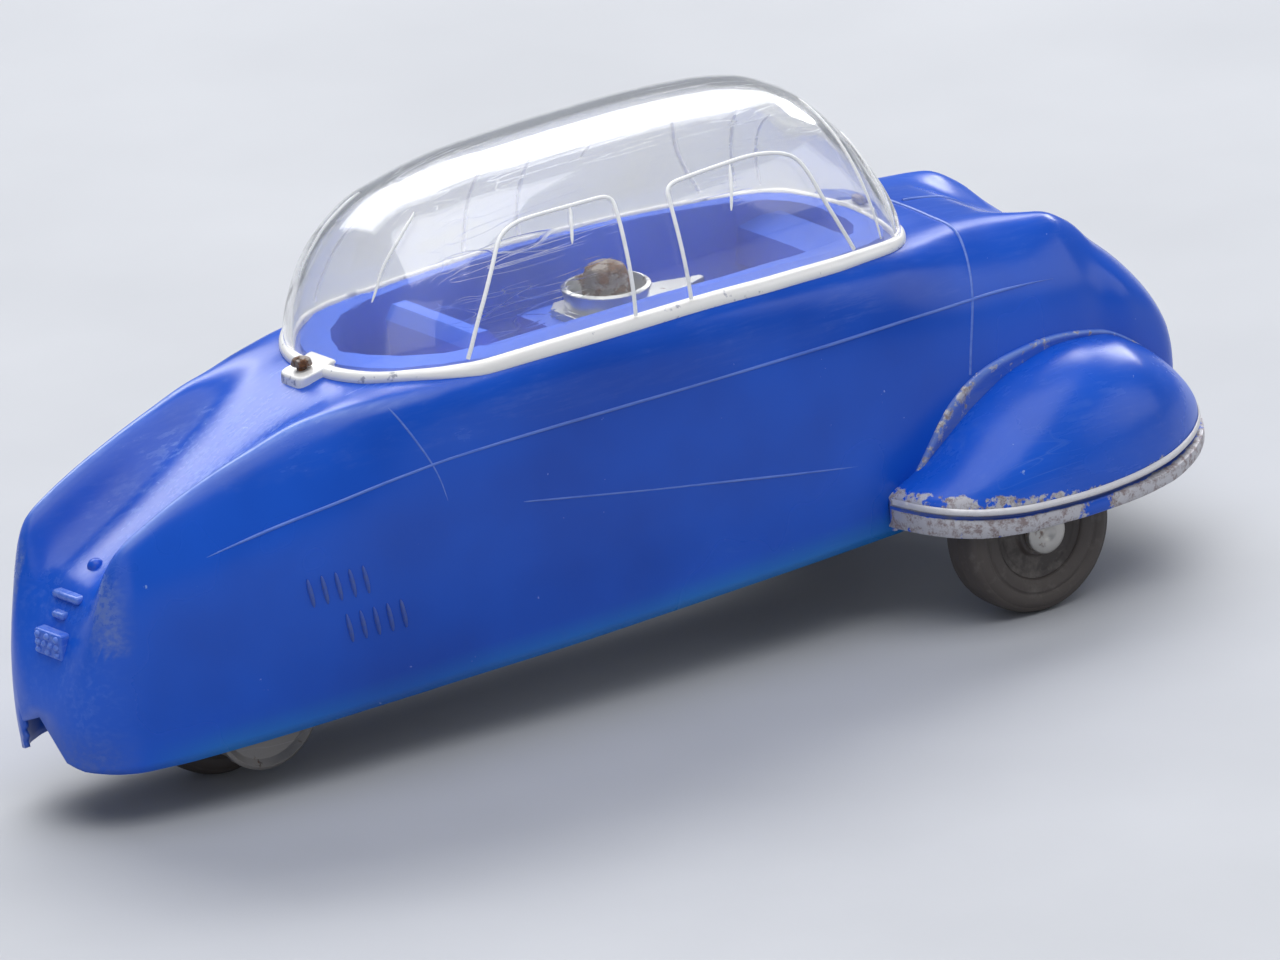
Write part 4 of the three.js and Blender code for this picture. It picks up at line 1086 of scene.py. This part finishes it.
def buildRim():
    # a band with a rounded top round the foot of the dome, lying on the body
    outline = rimOutline(0, 0.45)
    ahead = np.roll(outline, -1, 0) - np.roll(outline, 1, 0)
    ahead /= np.linalg.norm(ahead, axis=1)[:, None]
    out = np.stack([ahead[:, 1], -ahead[:, 0]], -1)
    if np.sum(out * (outline - outline.mean(0))) < 0:
        out = -out
    proud, height = canopyShape["rimProud"], canopyShape["rimHeight"]
    profile = [(-0.95, -0.5), (-0.95, height - 0.35), (-0.75, height - 0.12), (-0.1, height),
               (proud - 0.3, height - 0.05), (proud - 0.08, height - 0.22), (proud, height - 0.45),
               (proud, 0.15), (proud - 0.06, 0.0), (proud - 0.1, -0.5)]
    points = []
    for (x, y), (nx, ny) in zip(outline, out):
        for r, up in profile:
            px, py = x + nx * r, y + ny * r
            points.append((px, py, deckZ(np.clip(px, 0, 114), py) + up))
    faces = np.array(gridFaces(len(outline) + 1, len(profile), closed=True)) % len(points)
    newPiece("canopy_rim", points, faces.tolist(), paintedRim, sharpAngle=60)


def buildLugs():
    for end, tip, way, reach in (("rear", 28.0, 1, 4.2), ("front", 91.0, -1, 3.4)):
        outline = [(tip + way * back, y) for back, y in ((0, 1.2), (0.3, 1.6), (0.9, 1.75), (reach, 1.75))]
        loop = [*outline, *[(x, -y) for x, y in outline[::-1]]]
        points = [(x, y, deckZ(x, y) + up) for up in (-0.3, 0.86) for x, y in loop]
        faces = gridFaces(2, len(loop), closed=True, capped=True)
        addBevel(newPiece(f"canopy_lug_{end}", points, faces, paintedRim, sharpAngle=35), 0.22, 3)


def windowLines():
    paths = []
    for sign in (-1, 1):
        for key in ("rearWindow", "frontWindow"):
            paths.append([(x, sign * domeY(x, z), z, 1.0) for x, z in rounded(canopyShape[key])])
        for mark in canopyShape["slideMarks"] + canopyShape["screenEdges"]:
            line = rounded(mark, 2)
            ends = 0.85 * np.sin(np.linspace(0.12, np.pi - 0.12, len(line))) ** 0.5
            paths.append([(x, sign * domeY(x, z), z, e) for (x, z), e in zip(line, ends)])
    # the lines carry the near-white painted highlight
    beads("window_lines", paths, canopyShape["lineRadius"], raisedClear, {})


buildDome()
buildRim()
buildLugs()
windowLines()
for end in ("rear", "front"):
    softenedCopy(f"canopy_pin_{end}", f"pin_{end}", 0.06, rustedSteel)
print("canopy")

# cabin and the clamp in it

softenedCopy("cabin_insert", "cabin_tray", 0.3, blueTray, angle=35)
softenedCopy("clamp_strip", "clamp_strip_fine", 0.08, brightStrip)
softenedCopy("clamp_screw", "clamp_screw_fine", 0.2, rustedSteel)
print("cabin")

# wheels


def halfSize(node, axis):
    low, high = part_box(node)
    return (high[axis] - low[axis]) / mm / 2


wheelShape = {
    "frontHalf": halfSize("front_tyre_left", 1),
    "rearHalf": halfSize("rear_tyre", 1),
    "radius": halfSize("rear_tyre", 2),
    "disc": 4.35,
    "hub": 2.3,
    "rod": 0.8,
}


def bothSides(side, half, tread=()):
    # rows of radius and depth from the tyre's near face, mirrored to the far face
    low = [(r, depth - half) for r, depth in side]
    return low + [*tread] + [(r, -d) for r, d in low[::-1]]


def tyreProfile(half):
    r, d = wheelShape["radius"], wheelShape["disc"]
    side = [(d, 0.55), (d + 0.12, 0.34), (4.75, 0.2), (5.1, 0.13), (5.5, 0.1), (5.62, 0.2), (5.78, 0.2),
            (5.9, 0.07), (6.4, 0.0), (6.75, 0.1), (6.88, 0.22), (6.98, 0.22), (7.15, 0.32), (7.34, 0.62),
            (r - 0.06, 1.0), (r - 0.02, 1.5)]
    return bothSides(side, half, [(r - 0.02, -0.12), (r, -0.06), (r, 0.06), (r - 0.02, 0.12)])


def discProfile(half):
    hub, d, rod = wheelShape["hub"], wheelShape["disc"], wheelShape["rod"]
    side = [(rod, 0.2), (hub - 0.25, 0.2), (hub - 0.05, 0.28), (hub, 0.45), (hub + 0.18, 0.88), (2.9, 0.92),
            (3.7, 0.84), (3.85, 0.7), (4.1, 0.66), (d, 0.52)]
    return bothSides(side, half)


def capProfile(sign):
    # a pressed cap with a turned lip and a shallow dimple
    rows = [(0, 0.0), (1.72, 0.0), (1.9, 0.1), (1.95, 0.28), (1.95, 0.66), (1.85, 0.84), (1.55, 1.0),
            (1.2, 1.08), (0.8, 1.12), (0.62, 1.06), (0.4, 0.92), (0, 0.88)]
    return [(r, sign * (d - 0.2)) for r, d in rows]


wheelsAt = [("right", "front_tyre_right", "front_wheel_disc_right", "front_wheels", wheelShape["frontHalf"]),
            ("left", "front_tyre_left", "front_wheel_disc_left", "front_wheels", wheelShape["frontHalf"]),
            ("rear", "rear_tyre", "rear_wheel_disc", "rear_wheel", wheelShape["rearHalf"])]
for place, tyre, disc, rider, half in wheelsAt:
    x, y, z = middleOf(tyre)
    turnedPiece(f"tyre_{place}", tyreProfile(half), (x, y, z), tyreRubber, rider, replaces=[tyre])
    turnedPiece(f"wheel_{place}", discProfile(half), (x, y, z), wheelPlastic, rider, replaces=[disc])
    if place != "rear":
        sign = math.copysign(1, y)
        turnedPiece(f"cap_{place}", capProfile(sign), (x, y + sign * half, z), brightCap, rider, bevel=0.05,
                    replaces=[f"front_axle_cap_{place}"])
print("wheels")

# base plate, motor and gears: the parts' own shapes with softened edges

metalParts = {
    "chassis": [
        ("base_plate", "base_plate_fine", 0.12, tinplate), ("motor_frame", "motor_frame_fine", 0.12, tinplate),
        ("clamp_post", "clamp_post_fine", 0.1, tinplate), ("frame_post", "frame_post_fine", 0.08, steelRod),
        ("idler_arbor", "idler_arbor_fine", 0.06, steelRod), ("frame_rivet_1", "rivet_1", 0.07, steelRod),
        ("frame_rivet_2", "rivet_2", 0.07, steelRod), ("frame_rivet_3", "rivet_3", 0.07, steelRod),
    ],
    "front_wheels": [("front_axle", "front_rod", 0.1, steelRod)],
    "rear_wheel": [("rear_axle", "rear_rod", 0.1, steelRod), ("drive_gear", "drive_gear_fine", 0.05, castZinc)],
    "idler": [("idler_gear", "idler_gear_fine", 0.05, gearBrass),
              ("idler_pinion", "idler_pinion_fine", 0.05, gearBrass)],
    "flywheel_set": [
        ("flywheel_pinion", "flywheel_pinion_fine", 0.05, gearBrass),
        ("flywheel_arbor", "flywheel_arbor_fine", 0.06, steelRod),
        ("flywheel", "flywheel_fine", 0.12, castZinc),
    ],
}
for rider, rows in metalParts.items():
    for node, name, width, material in rows:
        softenedCopy(node, name, width, material, rider)
print("motor and base")

# tail: boss, brow bars and a blank plate

tailTrim = {
    "bars": [((3.05, 4.7), 1.9, (19.0, 19.7), 0.3), ((2.15, 3.8), 0.85, (17.65, 18.25), 0.25)],
    "plate": ((1.0, 3.0), 1.95, (14.5, 16.8), 0.25),
    "bumps": {"Width": 0.7, "Height": 0.6, "Proud": 0.3},
    "boss": (6.6, 21.0),
    "bossRows": [(0.75, 0.0), (0.75, 0.4), (0.7, 0.56), (0.58, 0.75), (0.4, 0.9), (0.2, 0.97)],
}


def smallBlock(name, xs, y, zs, bevel, masks):
    points = [(x, s * y, z) for x in xs for s in (-1, 1) for z in zs]
    faces = [(0, 1, 3, 2), (4, 6, 7, 5), (0, 4, 5, 1), (2, 3, 7, 6), (0, 2, 6, 4), (1, 5, 7, 3)]
    addBevel(newPiece(name, points, faces, blueShell, masks=masks, sharpAngle=35), bevel, 4)


# brow bars and plate lightened: partly wear, partly painted highlight on their lit faces
for i, (xs, y, zs, bevel) in enumerate(tailTrim["bars"]):
    smallBlock(f"tail_bar_{i + 1}", xs, y, zs, bevel, {"rubbed": 0.55, "crest": 0.4})
smallBlock("tail_plate", *tailTrim["plate"], {"rubbed": 0.5, "crest": 0.25})


def buildTailBumps():
    (x, _), _, (low, high), _ = tailTrim["plate"]
    points = [(x + 0.02, y, z) for row, z in enumerate(np.linspace(low + 0.45, high - 0.45, 3))
              for y in np.linspace(-1.35, 1.35, 4 if row % 2 else 3)]
    places = placesOn(points, [(-1.0, 0.0, 0.0)] * len(points), [(1.0, 1.0, 1.0)] * len(points))
    sizes = {key: size * mm for key, size in tailTrim["bumps"].items()}
    # the plate's bumps are lightened on top: partly wear, partly painted highlight
    grownPiece("tail_bumps", places, raisedDomes, {**sizes, "Finish": blueShell}, {"crest": 0.55})


def buildBoss():
    (x, z), sides = tailTrim["boss"], 40
    turns = np.linspace(0, 2 * np.pi, sides, endpoint=False)
    points = [(x + r * math.cos(t), r * math.sin(t), z + h) for r, h in tailTrim["bossRows"] for t in turns]
    faces = gridFaces(len(tailTrim["bossRows"]), sides, closed=True, capped=True)
    newPiece("tail_boss", points, faces, blueShell, sharpAngle=50)


buildTailBumps()
buildBoss()
print("tail")

# floor, lights and camera

studio = {
    "floor": 3.0,
    "floorDark": (0.43, 0.44, 0.465),
    "floorLight": (0.47, 0.48, 0.505),
    # name, direction from the car, distance, size, power
    "lights": [
        ("backSoftbox", (0.28, 0.67, 0.69), 0.95, (1.15, 0.5), 6.0),
        ("backCore", (0.32, 0.63, 0.71), 0.93, (0.9, 0.16), 2.4),
        ("overhead", (-0.10, -0.20, 0.97), 0.9, (1.0, 0.9), 6.0),
        ("sideFill", (-0.72, -0.62, 0.30), 1.0, (0.9, 0.6), 1.3),
        ("frontKey", (0.82, 0.36, 0.44), 0.9, (0.22, 0.16), 1.3),
        ("noseFill", (0.8, -0.5, 0.35), 1.0, (0.5, 0.5), 1.0),
    ],
    "world": (0.60, 0.67, 0.80, 0.32),
    "aim": (0.00674, 0.0, 0.01428),
    "right": (0.8033, -0.5914, -0.0693),
    "up": (0.2443, 0.2213, 0.9440),
    "distance": 3.4,
    "lens": 1110.5,
}


def makeFloor():
    f = Finish("paleFloor", 900.0)
    colour = f.mix(f.tone, studio["floorDark"], studio["floorLight"])
    material = f.done({"Base Color": colour, "Roughness": 0.6}, f.height, 0.1, 0.0001)
    s = studio["floor"] / 2
    mesh = bpy.data.meshes.new("floor")
    mesh.from_pydata([(-s, -s, 0), (s, -s, 0), (s, s, 0), (-s, s, 0)], [], [(0, 1, 2, 3)])
    mesh.materials.append(material)
    floor = linked("floor", mesh)
    floor.location.z = cadBox[0].z


def makeLights():
    aim = Vector(studio["aim"])
    for name, toward, distance, size, power in studio["lights"]:
        light = bpy.data.lights.new(name, "AREA")
        light.shape, light.energy = "RECTANGLE", power
        light.size, light.size_y = size
        lamp = linked(name, light)
        direction = Vector(toward).normalized()
        lamp.location = aim + direction * distance
        lamp.rotation_mode = "QUATERNION"
        lamp.rotation_quaternion = direction.to_track_quat("Z", "Y")
    world = bpy.data.worlds.new("studio")
    world.use_nodes = True
    *colour, strength = studio["world"]
    Nodes(world.node_tree).feed(world.node_tree.nodes["Background"], {0: (*colour, 1), 1: strength})
    bpy.context.scene.world = world


def makeCamera():
    data = bpy.data.cameras.new("camera")
    data.lens, data.sensor_width = studio["lens"], 36
    camera = linked("camera", data)
    right, up = Vector(studio["right"]).normalized(), Vector(studio["up"])
    up = (up - right * up.dot(right)).normalized()
    back = right.cross(up)
    turn = Matrix((right, up, back)).transposed().to_4x4()
    camera.matrix_world = Matrix.Translation(Vector(studio["aim"]) + back * studio["distance"]) @ turn
    bpy.context.scene.camera = camera


makeFloor()
makeLights()
makeCamera()
bpy.context.scene.view_settings.view_transform = "Standard"
print("stage, lights and camera")
